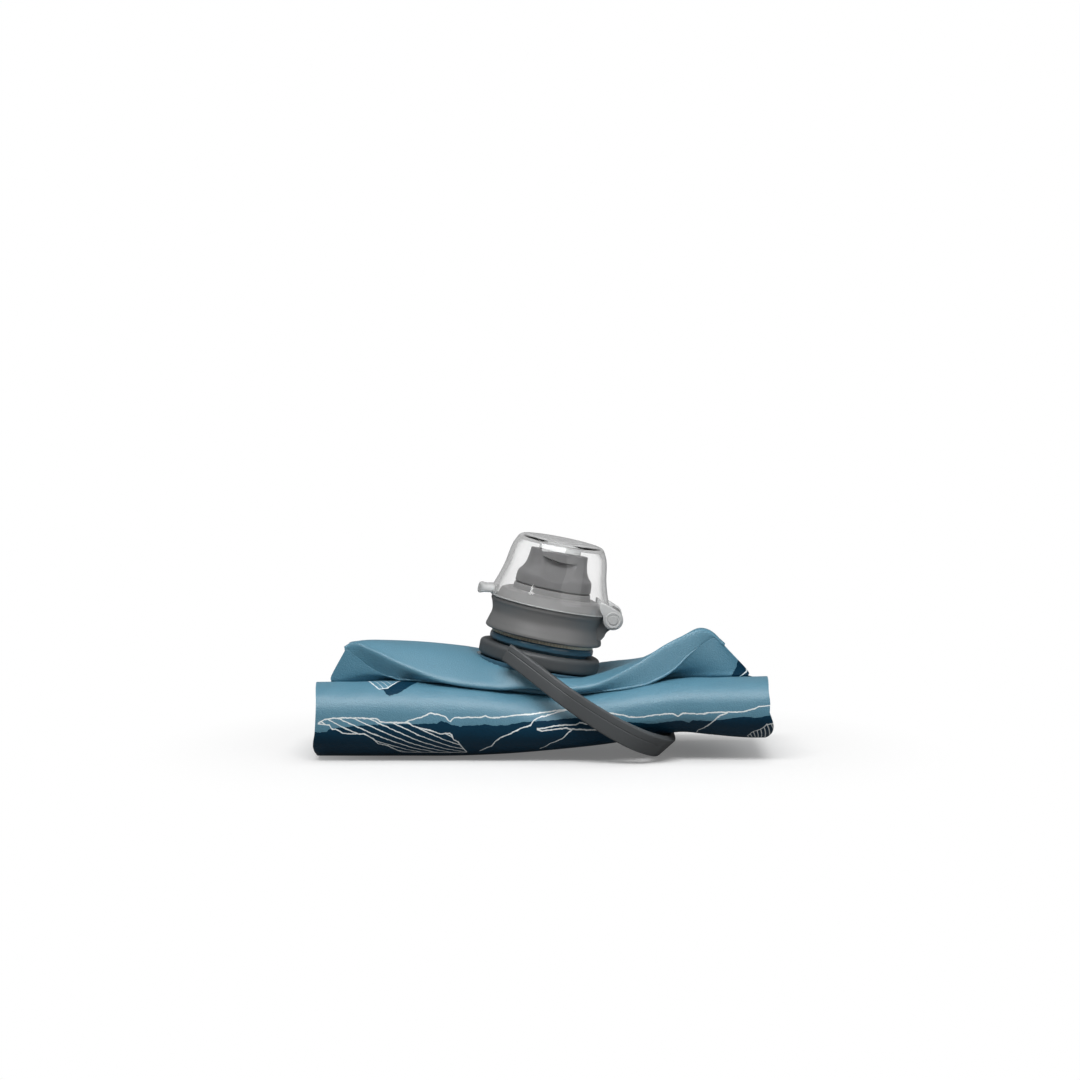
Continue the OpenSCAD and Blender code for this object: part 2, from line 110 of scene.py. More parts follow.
def soft_table(x, pairs):
    """A smooth line through (x, value) pairs."""
    xs = np.array([p[0] for p in pairs], float)
    ys = np.array([p[1] for p in pairs], float)
    slope = np.gradient(ys, xs)
    i = np.clip(np.searchsorted(xs, x) - 1, 0, len(xs) - 2)
    h = xs[i + 1] - xs[i]
    t = np.clip((x - xs[i]) / h, 0, 1)
    a = 2 * t**3 - 3 * t**2 + 1
    b = t**3 - 2 * t**2 + t
    c = -2 * t**3 + 3 * t**2
    d = t**3 - t**2
    return a * ys[i] + b * h * slope[i] + c * ys[i + 1] + d * h * slope[i + 1]


def spline(points, steps):
    """Catmull-Rom curve through points, steps samples a span, with the last point kept."""
    p = np.asarray(points, float)
    p = np.concatenate([[2 * p[0] - p[1]], p, [2 * p[-1] - p[-2]]])
    u = np.linspace(0, 1, steps, endpoint=False)[:, None]
    spans = []
    for a, b, c, d in zip(p[:-3], p[1:-2], p[2:-1], p[3:]):
        bend = a - 2.5 * b + 2 * c - d / 2
        twist = 1.5 * (b - c) + (d - a) / 2
        spans.append(b + u * (c - a) / 2 + u**2 * bend + u**3 * twist)
    return np.concatenate(spans + [p[-2:-1]])


def mesh_object(name, vertices, faces, material):
    """A smooth-shaded object from vertices in millimetres."""
    mesh = bpy.data.meshes.new(name)
    mesh.from_pydata((np.asarray(vertices) * MM).tolist(), [], [list(map(int, f)) for f in faces])
    mesh.validate()
    mesh.update()
    obj = bpy.data.objects.new(name, mesh)
    bpy.context.scene.collection.objects.link(obj)
    mesh.polygons.foreach_set("use_smooth", [True] * len(mesh.polygons))
    mesh.materials.append(material)
    return obj


def grid_faces(rows, cols, wrap_rows=False, wrap_cols=False):
    """Quads between the points of a grid, joined up again at its end where it wraps."""
    row_starts = np.arange(rows if wrap_rows else rows - 1)
    col_starts = np.arange(cols if wrap_cols else cols - 1)
    i, j = np.meshgrid(row_starts, col_starts, indexing="ij")
    i, j = i.ravel(), j.ravel()
    i2, j2 = (i + 1) % rows, (j + 1) % cols
    return np.stack([i * cols + j, i2 * cols + j, i2 * cols + j2, i * cols + j2], -1)


def attach(piece, body, slot, *nodes):
    """Hangs a piece on a body and hides the CAD nodes that it stands for. Its slot argument is not used."""
    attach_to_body(piece, body)
    if nodes:
        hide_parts(*nodes)


def use_modifiers(obj):
    """Applies the object's modifiers, so that its mesh is final."""
    bpy.context.view_layer.update()
    graph = bpy.context.evaluated_depsgraph_get()
    final = bpy.data.meshes.new_from_object(obj.evaluated_get(graph))
    obj.modifiers.clear()
    obj.data = final


# ---- Pouch film ----

FILM_T = 0.55
FILM_ROWS = 141
# The roll's section is a rounded box: its sine and cosine are raised to these powers.
ROUNDNESS = 0.6
LOW_FRONT_ROUNDNESS = 0.85
HALF_DEPTH = 24.0
ROLL_H = 22.2
CREST_TILT = 0.012
# The middle of the roll's top is pressed down.
SADDLE_DEPTH, SADDLE_X, SADDLE_WIDTH = 3.9, 5.0, 23.0
# The crest's share of the section's full height.
CREST_PEAK = 0.963
# Behind its crest the top of the roll falls off.
CREST_Y = -15.0
DROP_RUN = 14.0
BACK_DROP = 0.3
FLOOR_SINK = 0.8
FLOOR_ROUND = 0.35
# The spiral: millimetres deeper with each turn, and degrees from the back of the roll over its top.
PITCH = 2.2
TURNS = 1.7
TURN_START = 96.0
SINK_START = 306.0
FINE_TURN = 126.0
COARSE_STEP = 6.0
FINE_STEP = 2.0
EASE_TURNS = 16.0
# Distance between the two films, and of the outer one's middle under the roll's surface.
LAYER = 0.85
TOP_SKIN = 0.3
# Past these distances from the middle the shoulder flattens, and the films are welded together.
EDGE_START = 50.0
SEAM_START, SEAM_RUN = 60.0, 3.0
# The tables are used no further out than this.
TABLE_END = 62.0
# A dent in the roll's front beside the carry loop.
HOLLOW_DEPTH = 2.3
HOLLOW_X, HOLLOW_WIDTH = 6.0, 8.0
HOLLOW_Z, HOLLOW_HEIGHT = 15.0, 2.0
# The ripple fades in over this height above the roll's underside.
CALM_RISE = 4.0
# Gap between the shoulder's underside and the roll.
CLEAR = 0.5
SPLINE_STEPS = 6

# Tables of (x, value): how high the roll's underside lies off the floor, and the shoulder's lines.
LIFT = [
    (-64, 0), (-40, 0), (-22, 0.1), (5, 2.1), (22, 4.2), (32, 6.2), (38, 6.9), (46, 6.2), (56, 5.3),
    (64, 5.2),
]
RIDGE_Z = [
    (-60.2, 21.5), (-58.2, 25.4), (-55.9, 29.6), (-54, 31.1), (-51.5, 31.5), (-44, 31.2), (-34, 30.6),
    (-18, 28.6), (0, 25.4), (14, 24.8), (27, 25.6), (36, 28.4), (44.5, 34.7), (47.5, 33.8), (49, 32.4),
    (52.5, 29.4), (55.5, 26.2), (59, 22),
]
FOLD_Z = [
    (-60.2, 21.2), (-58.2, 25), (-55.9, 29.4), (-54, 30.9), (-51.5, 31.2), (-48.5, 29.9), (-44, 28),
    (-40, 26.2), (-35, 24.3), (-30, 22.5), (-24, 21.2), (-10, 19.8), (5, 19.4), (15, 20.6), (22, 23.7),
    (28, 27), (32, 29.5), (38, 32.5), (44.5, 34.6), (47.5, 33.6), (49, 32.2), (52.5, 29.2), (55.5, 26),
    (59, 21.9),
]
# The lower edge of the facet under the fold, where the side welds were pressed flat.
FACET_Z = [
    (-60.2, 20.8), (-58.2, 24.6), (-56, 28.9), (-52, 27.9), (-48.7, 25.5), (-45.6, 23.8), (-41.6, 22.5),
    (-38, 21.5), (-34, 20.8), (-24, 19.9), (-10, 18.6), (5, 18.0), (15, 18.5), (22, 19.4), (29, 21.5),
    (35.7, 24.6), (41.7, 29.4), (48, 32.6), (52.5, 28.9), (55.5, 25.7), (59, 21.6),
]
FACET_STEP = [
    (-59, 0.1), (-53, 0.5), (-45, 1.3), (-30, 1.6), (0, 1.7), (14, 1.2), (24, -0.6), (34, -1.7),
    (44, -1.2), (49, 0), (57, 0),
]
FOLD_Y = [
    (-59, -9), (-54, -9), (-44, -13), (-32, -16.6), (-10, -18.2), (12, -18.2), (24, -16.8), (36, -12),
    (46, -8), (57, -9),
]
RIDGE_Y = [(-59, -8), (-54, -6), (-44, -1), (-30, 2), (30, 2), (40, -2), (47, -6), (57, -8)]
# Where the ridge ends, and where the shoulder's edge ends on the roll.
RIDGE_LEFT, RIDGE_RIGHT = -53.9, 48.3
EDGE_LEFT, EDGE_RIGHT = -60.2, 59.2
# How far the roll's ends are drawn in at each height.
END_LEFT = [(0, 1.8), (4, 0.7), (8, 1.3), (12, 1.6), (17, 1.7), (22, 1.1)]
END_RIGHT = [
    (5, -3.5), (7, -1.6), (10, -0.7), (12, -1.2), (14, -1.9), (17, -1.8), (19, -2.1), (22.5, -1.9),
]
END_RUN = 8.0
# Steps along the shoulder's section where the top skin starts and ends.
SKIN_RISE = (24, 42, 84, 96)
# The same for the film that the neck pulls up with it.
HOLD_RISE = (24, 42, 73, 82)
# The film follows the neck fully inside the first radius, and freely past the second.
HOLD_INNER, HOLD_OUTER = 18.5, 31.0
# Round the neck the film lies at this height, reached over SKIN_RUN inside SKIN_REACH.
SKIN_LEVEL = -8.9
SKIN_REACH, SKIN_RUN = 20.5, 4.5
# Under the handle ring it lies no higher than this, rising again outside the ring.
RING_UNDERSIDE = -8.45
UNDERSIDE_R, UNDERSIDE_RISE = 17.8, 0.75
PRESS_R, PRESS_DEPTH, PRESS_SOFT = 30.0, -14.0, 0.8
NECK_HOLE_R = 17.0
HOLE_DEPTH = -11.5


def lift_at(x):
    return soft_table(x, LIFT)


def crest_at(x):
    """Height of the roll's crest."""
    return ROLL_H + CREST_TILT * x - SADDLE_DEPTH * np.exp(-(((x - SADDLE_X) / SADDLE_WIDTH) ** 2))


def mid_at(x):
    return (crest_at(x) + lift_at(x)) / 2


def bulge(v, roundness=ROUNDNESS):
    return np.sign(v) * np.abs(v) ** roundness


def drop_at(y):
    return 1 - BACK_DROP * smooth((y - CREST_Y) / DROP_RUN)


def roll_point(x, degrees, depth):
    """(y, z) on the roll's rounded box section, sunk into the roll by depth."""
    a = np.radians(degrees)
    low_front = (np.sin(a) < 0) & (np.cos(a) < 0)
    roundness = np.where(low_front, LOW_FRONT_ROUNDNESS, ROUNDNESS)
    y = (HALF_DEPTH - depth) * bulge(np.cos(a), roundness)
    mid = mid_at(x)
    top = (crest_at(x) - mid) / CREST_PEAK - depth
    low = mid - lift_at(x) + FLOOR_SINK - depth
    z = mid + np.where(np.sin(a) > 0, top * drop_at(y), low) * bulge(np.sin(a), roundness)
    floor = lift_at(x) + depth
    # Rounds the corner where the roll flattens on the floor.
    z = floor + np.log1p(np.exp((z - floor) / FLOOR_ROUND)) * FLOOR_ROUND
    return np.stack([y, z], -1)


def roll_top(x, y):
    """Height of the roll's upper surface."""
    mid = mid_at(x)
    top = (crest_at(x) - mid) / CREST_PEAK
    return mid + top * drop_at(y) * (1 - (abs(y) / HALF_DEPTH) ** (2 / ROUNDNESS)) ** (ROUNDNESS / 2)


def shoulder_x(u, lift_share):
    """X of film coordinate u where the film has climbed lift_share of the way to the ridge."""
    side = RIDGE_LEFT if u < 0 else RIDGE_RIGHT
    foot = EDGE_LEFT if u < 0 else EDGE_RIGHT
    far = abs(u) / HALF_LEN
    end = foot + (side - foot) * lift_share
    return u + (end - math.copysign(HALF_LEN, u)) * far**2


def sunk(turn):
    """How far the spiral has sunk: the first turn stays outermost until it is past the floor."""
    seam = TURN_START + 360
    first = PITCH * np.clip(turn - SINK_START, 0, None) / (seam - SINK_START)
    return np.where(turn < seam, first, PITCH * (1 + (turn - seam) / 360))


def end_drawn_in(points):
    """Draws the roll's ends in, by an amount that changes with height."""
    x, z = points[:, 0], points[:, 2]
    table = END_LEFT if x[0] < 0 else END_RIGHT
    share = smooth((np.abs(x) - (HALF_LEN - END_RUN)) / END_RUN)
    points[:, 0] = x + share * soft_table(z, table)
    return points


def film_section(u):
    """The whole film at coordinate u as (x, y, z) points, from the core of the front film
    out to the valley, over the fold and the ridge, down the back and into the core again."""
    edge = smooth((abs(u) - EDGE_START) / (HALF_LEN - EDGE_START))
    layer = LAYER + (FILM_T - LAYER) * smooth((abs(u) - SEAM_START) / SEAM_RUN)
    coarse_turn = np.arange(TURN_START + 360 * TURNS, FINE_TURN + 1, -COARSE_STEP)
    turn = np.concatenate([coarse_turn, np.arange(FINE_TURN, TURN_START - 1, -FINE_STEP)])
    depth = TOP_SKIN + sunk(turn)
    front_roll = roll_point(u, turn, depth)
    back_roll = roll_point(u, turn[::-1], depth[::-1] + layer)

    xf = shoulder_x(u, 0.2)
    xn = shoulder_x(u, 0.8)
    xr = shoulder_x(u, 1.0)
    fold_y, fold_z = soft_table(xn, FOLD_Y), soft_table(xn, FOLD_Z)
    ridge_y, ridge_z = soft_table(xr, RIDGE_Y), soft_table(xr, RIDGE_Z)
    ridge_z = max(ridge_z, roll_top(xr, ridge_y) + 0.8)
    fold_z = max(fold_z, roll_top(xn, fold_y) + 0.7)
    facet_y = fold_y + soft_table(xn, FACET_STEP) * (1 - edge)
    facet_z = min(max(soft_table(xn, FACET_Z), roll_top(xn, facet_y) + 0.6), fold_z - 0.25)

    def over(x, y, up):
        return (x, y, roll_top(np.clip(x, -TABLE_END, TABLE_END), y) + up)

    tall = ridge_z - fold_z
    puff = 1.1 * (1 - edge) + 0.12 * tall * (1 - edge)
    valley_x = shoulder_x(u, 0.0)
    front = spline(
        [
            (valley_x, front_roll[-1][0] + 1.2, front_roll[-1][1] + 0.05),
            over(valley_x, -4.0, CLEAR - 0.1),
            over(xf, -7.5, CLEAR + 0.15),
            over(xf, (fold_y - 7.5) / 2, CLEAR + 0.35 + 0.15 * (fold_z - crest_at(xf))),
            (xn, facet_y, facet_z - 0.1),
            (xn, facet_y, facet_z + 0.15),
            (xn, fold_y - 0.5 * (1 - edge), fold_z),
            (xn, fold_y + 1.0, fold_z + 0.12 * tall + 0.9 * (1 - edge)),
            ((xn + xr) / 2, fold_y + 0.42 * (ridge_y - fold_y), fold_z + 0.52 * tall + puff),
            (xr, fold_y + 0.78 * (ridge_y - fold_y), fold_z + 0.9 * tall + 0.45 * puff),
            (xr, ridge_y, ridge_z),
        ],
        SPLINE_STEPS,
    )
    rear_y = 17.5 * (1 - edge) + (ridge_y + 1) * edge
    rear_top = roll_top(u, 15.0)
    back = spline(
        [
            (xr, ridge_y, ridge_z),
            (xr, ridge_y + (rear_y - ridge_y) * 0.5, ridge_z - 0.10 * (ridge_z - rear_top) - 0.1),
            (xr, ridge_y + (rear_y - ridge_y) * 0.87, ridge_z - 0.42 * (ridge_z - rear_top)),
            ((xn + xr) / 2, rear_y, ridge_z - 0.78 * (ridge_z - rear_top)),
            over(xf, rear_y - 2.2 * (1 - edge), CLEAR + 0.25),
            over(xf, 9 * (1 - edge) + (ridge_y + 0.5) * edge, CLEAR),
            over(valley_x, 2 * (1 - edge) - 4 * edge, CLEAR - 0.4),
            (valley_x, back_roll[0][0] + 1.6, back_roll[0][1] + 0.05),
        ],
        SPLINE_STEPS,
    )

    def with_x(points):
        return np.column_stack([np.full(len(points), u), points])

    # The roll's x eases to the shoulder's x just before the valley.
    ease = smooth(1 - (turn - TURN_START) / EASE_TURNS)
    front_roll = end_drawn_in(with_x(front_roll))
    front_roll[:, 0] += (valley_x - front_roll[:, 0]) * ease
    back_roll = end_drawn_in(with_x(back_roll))
    back_roll[:, 0] += (valley_x - back_roll[:, 0]) * ease[::-1]
    parts = [front_roll, front, back[1:], back_roll]
    counts = [len(p) for p in parts]
    return np.concatenate(parts), counts


def shoulder_share(shape, counts, steps):
    """0 on the roll, rising to 1 on the shoulder between the given steps of its section."""
    share = np.zeros(shape)
    start, end = counts[0], shape[1] - counts[3]
    share[:, start:end] = np.interp(np.arange(end - start), steps, (0, 1, 1, 0))
    return share


def press_under_ring(points, counts):
    """The film lies flat under the handle ring and rises to the neck's weld flange."""
    local = neck_local(points)
    r = np.hypot(local[..., 0], local[..., 1])
    skin = shoulder_share(r.shape, counts, SKIN_RISE)
    height = local[..., 2]
    lifted = height + (SKIN_LEVEL - height) * smooth((SKIN_REACH - r) / SKIN_RUN) * skin
    height = np.maximum(height, lifted)
    limit = RING_UNDERSIDE + UNDERSIDE_RISE * np.clip(r - UNDERSIDE_R, 0, None)
    over = height - limit
    near = (r < PRESS_R) & (height > PRESS_DEPTH)
    pressed = limit - PRESS_SOFT * np.exp(-(over + PRESS_SOFT) / PRESS_SOFT)
    local[..., 2] = np.where(near & (over > -PRESS_SOFT), pressed, height)
    return neck_world(local), r


def ripple(x, v):
    """Low, soft unevenness of the hand-rolled film, in mm."""
    wave = 0.098 * np.sin(0.11 * x + 0.9) * np.sin(0.21 * v + 0.05 * x)
    return wave + 0.056 * np.sin(0.31 * x - 0.13 * v) + 0.035 * np.sin(0.57 * x + 0.29 * v + 1.3)


def hollow(points):
    """How deep the roll's front is pushed in beside the carry loop, in mm."""
    x, y, z = points[..., 0], points[..., 1], points[..., 2]
    away = ((x - HOLLOW_X) / HOLLOW_WIDTH) ** 2 + ((z - HOLLOW_Z) / HOLLOW_HEIGHT) ** 2
    return HOLLOW_DEPTH * np.exp(-away) * smooth((-y - 8) / 6)


def film_grid():
    """Film coordinates u and v with their points, and the counts of points in a section's parts."""
    share = np.sin(np.linspace(-math.pi / 2, math.pi / 2, FILM_ROWS))
    us = HALF_LEN * np.sign(share) * np.abs(share) ** 0.9
    rows = [film_section(u) for u in us]
    counts = rows[0][1]
    points = np.stack([r[0] for r in rows])
    steps = np.linalg.norm(np.diff(points[:, :, 1:], axis=1), axis=2)
    run = np.concatenate([np.zeros((len(us), 1)), np.cumsum(steps, axis=1)], axis=1)
    # v is measured along the front film, from the middle of the roll's front, down and inwards.
    front_mid = int(round((TURN_START + 360 * TURNS - 180) / COARSE_STEP))
    v = run[:, front_mid : front_mid + 1] - run
    u = np.broadcast_to(us[:, None], v.shape)
    return u, v, points, counts


def outward(points):
    """Unit normals of the film's outer face."""
    along = np.gradient(points, axis=1)
    across = np.gradient(points, axis=0)
    n = np.cross(across, along)
    return n / np.maximum(np.linalg.norm(n, axis=2, keepdims=True), 1e-9)


def hold_to_neck(film):
    """Film welded to the neck rises with it, however low it lies beside the tilted ring."""
    mesh = film.data
    hold = np.empty(len(mesh.vertices), np.float32)
    weight = np.empty(len(mesh.vertices), np.float32)
    mesh.attributes["neck_hold"].data.foreach_get("value", hold)
    mesh.attributes["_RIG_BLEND"].data.foreach_get("value", weight)
    mesh.attributes["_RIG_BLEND"].data.foreach_set("value", np.maximum(weight, hold))


def make_film(material):
    u, v, points, counts = film_grid()
    x = points[..., 0]
    on_roll = np.zeros(v.shape)
    on_roll[:, : counts[0]] = 1
    on_roll[:, -counts[3] :] = 1
    wave = ripple(x, v) * on_roll * smooth((points[..., 2] - lift_at(x)) / CALM_RISE)
    points = points + outward(points) * wave[..., None]
    points[..., 1] += hollow(points) * on_roll
    points, r = press_under_ring(points, counts)
    held = shoulder_share(v.shape, counts, HOLD_RISE)
    faces = grid_faces(*v.shape)
    flat_r = r.reshape(-1)
    flat = points.reshape(-1, 3)
    # The top skin has the neck's hole in it. The skin under it is whole.
    top_skin = (held.reshape(-1) > 0.98) & (neck_local(flat)[:, 2] > HOLE_DEPTH)
    keep = ~((flat_r[faces].max(1) < NECK_HOLE_R) & top_skin[faces].all(1))
    obj = mesh_object("pouch_film", flat, faces[keep], material)
    hold = held * smooth((HOLD_OUTER - r) / (HOLD_OUTER - HOLD_INNER))
    for name, values in (("film_u", u), ("film_v", v), ("neck_hold", hold)):
        attribute = obj.data.attributes.new(name, "FLOAT", "POINT")
        attribute.data.foreach_set("value", values.reshape(-1).astype(np.float32))
    wall = obj.modifiers.new("film_wall", "SOLIDIFY")
    wall.thickness = FILM_T * MM
    wall.offset = 0
    use_modifiers(obj)
    return obj


# ---- Turned and swept parts ----

EDGE_ROUND = 0.35
MERGE_GAP = 0.002


def fillet(profile, steps=5):
    """A closed outline of (r, t, radius) corners, each corner rounded to its radius."""
    corners = [np.array(c[:2], float) for c in profile]
    out = []
    for i, corner in enumerate(corners):
        radius = profile[i][2] if len(profile[i]) > 2 else 0
        before, after = corners[i - 1] - corner, corners[(i + 1) % len(corners)] - corner
        la, lb = np.linalg.norm(before), np.linalg.norm(after)
        cosine = np.clip(before @ after / (la * lb), -1, 1)
        half = math.acos(cosine) / 2
        if radius <= 0 or half > math.pi / 2 - 0.01:
            out.append(corner)
            continue
        cut = min(radius / math.tan(half), 0.49 * la, 0.49 * lb)
        a, b = corner + before / la * cut, corner + after / lb * cut
        for k in range(steps + 1):
            share = k / steps
            out.append((1 - share) ** 2 * a + 2 * share * (1 - share) * corner + share**2 * b)
    return np.array(out)


def merged(obj):
    """Welds the corners that fall together and turns all faces outwards."""
    bm = bmesh.new()
    bm.from_mesh(obj.data)
    bmesh.ops.remove_doubles(bm, verts=bm.verts, dist=MERGE_GAP * MM)
    bmesh.ops.recalc_face_normals(bm, faces=bm.faces)
    bm.to_mesh(obj.data)
    bm.free()
    return obj


def sharp_smooth(obj, degrees=35):
    """Smooth shading that keeps edges sharper than the given angle."""
    obj.data.polygons.foreach_set("use_smooth", [True] * len(obj.data.polygons))
    obj.data.set_sharp_from_angle(angle=math.radians(degrees))
    return obj


def lathe(name, profile, material, segments=144, shape=None):
    """Turns an outline of (r, t) points round the leaning neck. shape may move the points."""
    profile = np.asarray(profile, float)
    angle = np.linspace(0, 2 * math.pi, segments, endpoint=False)
    r, t = profile[:, 0], profile[:, 1]
    heights = np.broadcast_to(t, (segments, len(t)))
    local = np.stack([np.outer(np.cos(angle), r), np.outer(np.sin(angle), r), heights], -1)
    if shape is not None:
        local = shape(local)
    faces = grid_faces(segments, len(t), wrap_rows=True, wrap_cols=True)
    obj = mesh_object(name, neck_world(local).reshape(-1, 3), faces, material)
    return sharp_smooth(merged(obj))


def extruded(name, outline, low, high, material):
    """An outline of (s, t) points in the neck's XZ plane, given a width from y = low to high."""
    n = len(outline)
    local = [(p[0], low, p[1]) for p in outline] + [(p[0], high, p[1]) for p in outline]
    faces = [list(range(n)), list(range(2 * n - 1, n - 1, -1))]
    faces += [(i, i + n, (i + 1) % n + n, (i + 1) % n) for i in range(n)]
    obj = merged(mesh_object(name, neck_world(np.array(local)), faces, material))
    mod = obj.modifiers.new("edge", "BEVEL")
    mod.width = EDGE_ROUND * MM
    mod.segments = 3
    mod.limit_method = "ANGLE"
    mod.angle_limit = math.radians(40)
    use_modifiers(obj)
    return sharp_smooth(obj)


def arc(centre, radius, start, end, steps):
    """Points on a circle, with angles in degrees."""
    a = np.radians(np.linspace(start, end, steps + 1))
    return np.column_stack([centre[0] + radius * np.cos(a), centre[1] + radius * np.sin(a)])


# ---- Cap ----

CAP_R = 16.45
CAP_H = 9.0
DECK = 12.0
CAP_BORE = 14.0
TOWER_R = 6.0
SPOUT_R = 10.7
SPOUT_LOW = 13.9
SPOUT_TOP = 24.2
TOWER_TOP = 19.4
TOWER_BORE = 4.2
CAP_ROOF = 10.1
MOUTH_R = 4.0
SLEEVE_R = TOWER_R + 0.1
# The finger scoops leave everything inside this radius as it is.
SCOOP_CORE = 5.5
COVER_TOP = 27.6
COVER_R = 16.8
COVER_T = 1.1
COVER_LOW = CAP_H + 0.08
PLUG_R = 5.9
PLUG_WALL = 1.2
KNUCKLE_R = 2.5
KNUCKLE_HALF = 6.0
ARM_R = 2.8
ARM_IN, ARM_OUT = 6.3, 9.1
TAB_REACH, TAB_HALF = 20.6, 5.4
TAB_LOW, TAB_HIGH = 10.0, 11.7
TAB_DROOP = 0.16
TAB_POINTS = 15


def wall_line(radius, offsets, steps):
    """A curved wall through (offset from the radius, t) points."""
    return [tuple(p) for p in spline([(radius + offset, t) for offset, t in offsets], steps)]


def make_cap(material):
    waist = [(0, 0.9), (-0.45, 2.4), (-1.0, 4.7), (-0.6, 6.8), (-0.1, 8.0)]
    outline = [(CAP_BORE, 0.4, 0.3), (CAP_BORE + 0.5, 0, 0.3), (CAP_R - 0.35, 0, 0.5), (CAP_R, 0.35, 0.3)]
    outline += wall_line(CAP_R, waist, 8)
    outline += [
        (CAP_R - 0.1, CAP_H, 0.25), (CAP_R - 1.3, CAP_H, 0.1), (CAP_R - 2.5, DECK - 0.5, 0.5),
        (CAP_R - 3.4, DECK, 0.5), (SPOUT_R + 0.25, DECK, 0.15), (SPOUT_R + 0.1, SPOUT_LOW - 0.25, 0.25),
        (TOWER_R, SPOUT_LOW - 0.25), (TOWER_R, TOWER_TOP), (TOWER_BORE, TOWER_TOP), (TOWER_BORE, CAP_ROOF),
        (CAP_BORE, CAP_ROOF),
    ]
    cap = lathe("cap_shell", fillet(outline), material)
    attach(cap, "cap", "cap_plastic", "cap_base")
    hs, ht = HINGE[0], HINGE[2]
    lug_line = np.concatenate([
        [(13.2, 2.2), (15.7, 2.2), (16.15, 2.7)],
        arc((hs + 1.5, 3.4), 2.9, 175, 105, 8),
        arc((hs, ht), KNUCKLE_R, -80, 170, 24),
        [(15.3, CAP_H - 0.1), (13.2, CAP_H - 0.1)],
    ])
    lug = extruded("cap_lug", lug_line, -KNUCKLE_HALF, KNUCKLE_HALF, material)
    attach(lug, "cap", "cap_plastic")


# How far the wall of a finger scoop stands from the spout's axis at each height.
SCOOP_WALL = [(14, 11.2), (16, 10.7), (17, 9.7), (18.5, 8.2), (20.3, 7.0), (21.6, 6.3), (24.3, 6.0)]


def scoop_shape(local):
    """Finger scoops front and back: each draws the wall in over a hollow under the top rim."""
    x, y, t = local[..., 0], local[..., 1], local[..., 2]
    across = -x * np.sign(y)
    side = smooth((across + 5.2) / 2.4) * smooth((6.7 - across) / 0.7)
    rim = 1 - smooth((t - 21.4 - 0.022 * (across - 2) ** 2) / 0.35)
    outside = np.hypot(x, y) > SCOOP_CORE
    depth = np.clip(np.abs(y) - soft_table(t, SCOOP_WALL), 0, None) * side * rim * outside
    local[..., 1] = y - np.sign(y) * depth
    return local


def make_spout(material):
    wall = [
        (0, 14.2), (-0.1, 16.2), (-0.4, 17.3), (-1.3, 18.4), (-2.0, 19.8), (-2.4, 21.6), (-2.55, 22.8),
        (-2.6, 23.8),
    ]
    outline = [(SLEEVE_R, SPOUT_LOW), (SPOUT_R - 0.25, SPOUT_LOW, 0.2)]
    outline += wall_line(SPOUT_R, wall, 7)
    outline += [
        (SPOUT_R - 2.75, SPOUT_TOP, 0.25), (MOUTH_R + 0.6, SPOUT_TOP, 0.3), (MOUTH_R, SPOUT_TOP - 0.7, 0.3),
        (MOUTH_R, 21.2, 0.2), (SLEEVE_R, 20.4, 0.2),
    ]
    spout = lathe("spout_body", fillet(outline), material, segments=240, shape=scoop_shape)
    attach(spout, "spout", "spout_plastic", "spout")


def clear_shell(material):
    """The cover's thin clear wall and roof."""
    wall = [
        (0, 9.5), (-0.05, 10.4), (-0.2, 11.6), (-0.75, 13.2), (-1.7, 16.0), (-2.45, 18.9), (-3.0, 22.2),
        (-3.5, 24.3),
    ]
    outer = wall_line(COVER_R, wall, 6)
    roof = COVER_TOP - COVER_T
    outline = [(COVER_R - COVER_T, COVER_LOW, 0.1), (COVER_R, COVER_LOW, 0.3)]
    outline += outer
    outline += [(COVER_R - 4.9, COVER_TOP - 0.35, 2.2), (COVER_R - 7.5, COVER_TOP, 1.0), (0, COVER_TOP)]
    outline += [(0, roof), (COVER_R - 7.8, roof, 0.8), (COVER_R - 5.7, COVER_TOP - 1.4, 1.4)]
    outline += [(r - COVER_T, t) for r, t in reversed(outer)]
    return lathe("clear_cover", fillet(outline), material, segments=192)


def cover_rings(material):
    """The plug ring that closes the spout, and the thin rim round the cover's foot, whose pale milky plastic
    is a painted highlight along the edge.
    """
    plug_low, plug_high = SPOUT_TOP + 0.12, COVER_TOP - COVER_T + 0.02
    plug = [
        (PLUG_R - PLUG_WALL, plug_low, 0.2), (PLUG_R, plug_low, 0.2), (PLUG_R, plug_high, 0.1),
        (PLUG_R - PLUG_WALL, plug_high, 0.1),
    ]
    rim_r, rim_low = COVER_R + 0.03, COVER_LOW - 0.02
    # The foot's rim is real; its pale milky plastic is a painted highlight along the edge.
    rim = [(rim_r, rim_low, 0.1), (rim_r, COVER_LOW + 0.3, 0.1), (COVER_R - COVER_T, rim_low, 0.1)]
    return [lathe("cover_plug", fillet(plug), material), lathe("cover_rim", fillet(rim), material)]


def make_cover(material, frosted):
    """The clear shell, and round it the frosted plug, hinge arms, bosses and thumb tab, and the foot's rim,
    pale as a painted highlight.
    """
    hs, ht = HINGE[0], HINGE[2]
    arm_line = np.concatenate([
        arc((hs, ht), ARM_R, -165, 65, 24),
        [(hs - 1.5, ht + 3.6), (hs - 4.4, ht + 4.3), (hs - 4.6, ht + 2.4), (hs - 3.1, ht + 0.7)],
    ])
    attach(clear_shell(material), "cover", "clear_plastic", "dust_cover")
    pieces = cover_rings(frosted)
    for side, tag in ((-1, "front"), (1, "rear")):
        low_y, high_y = sorted((side * ARM_IN, side * ARM_OUT))
        pieces.append(extruded("cover_arm_" + tag, arm_line, low_y, high_y, frosted))
        pieces.append(hinge_boss("cover_boss_" + tag, hs, ht, side, frosted))
    pieces.append(make_tab(frosted))
    for piece in pieces:
        attach(piece, "cover", "clear_plastic")


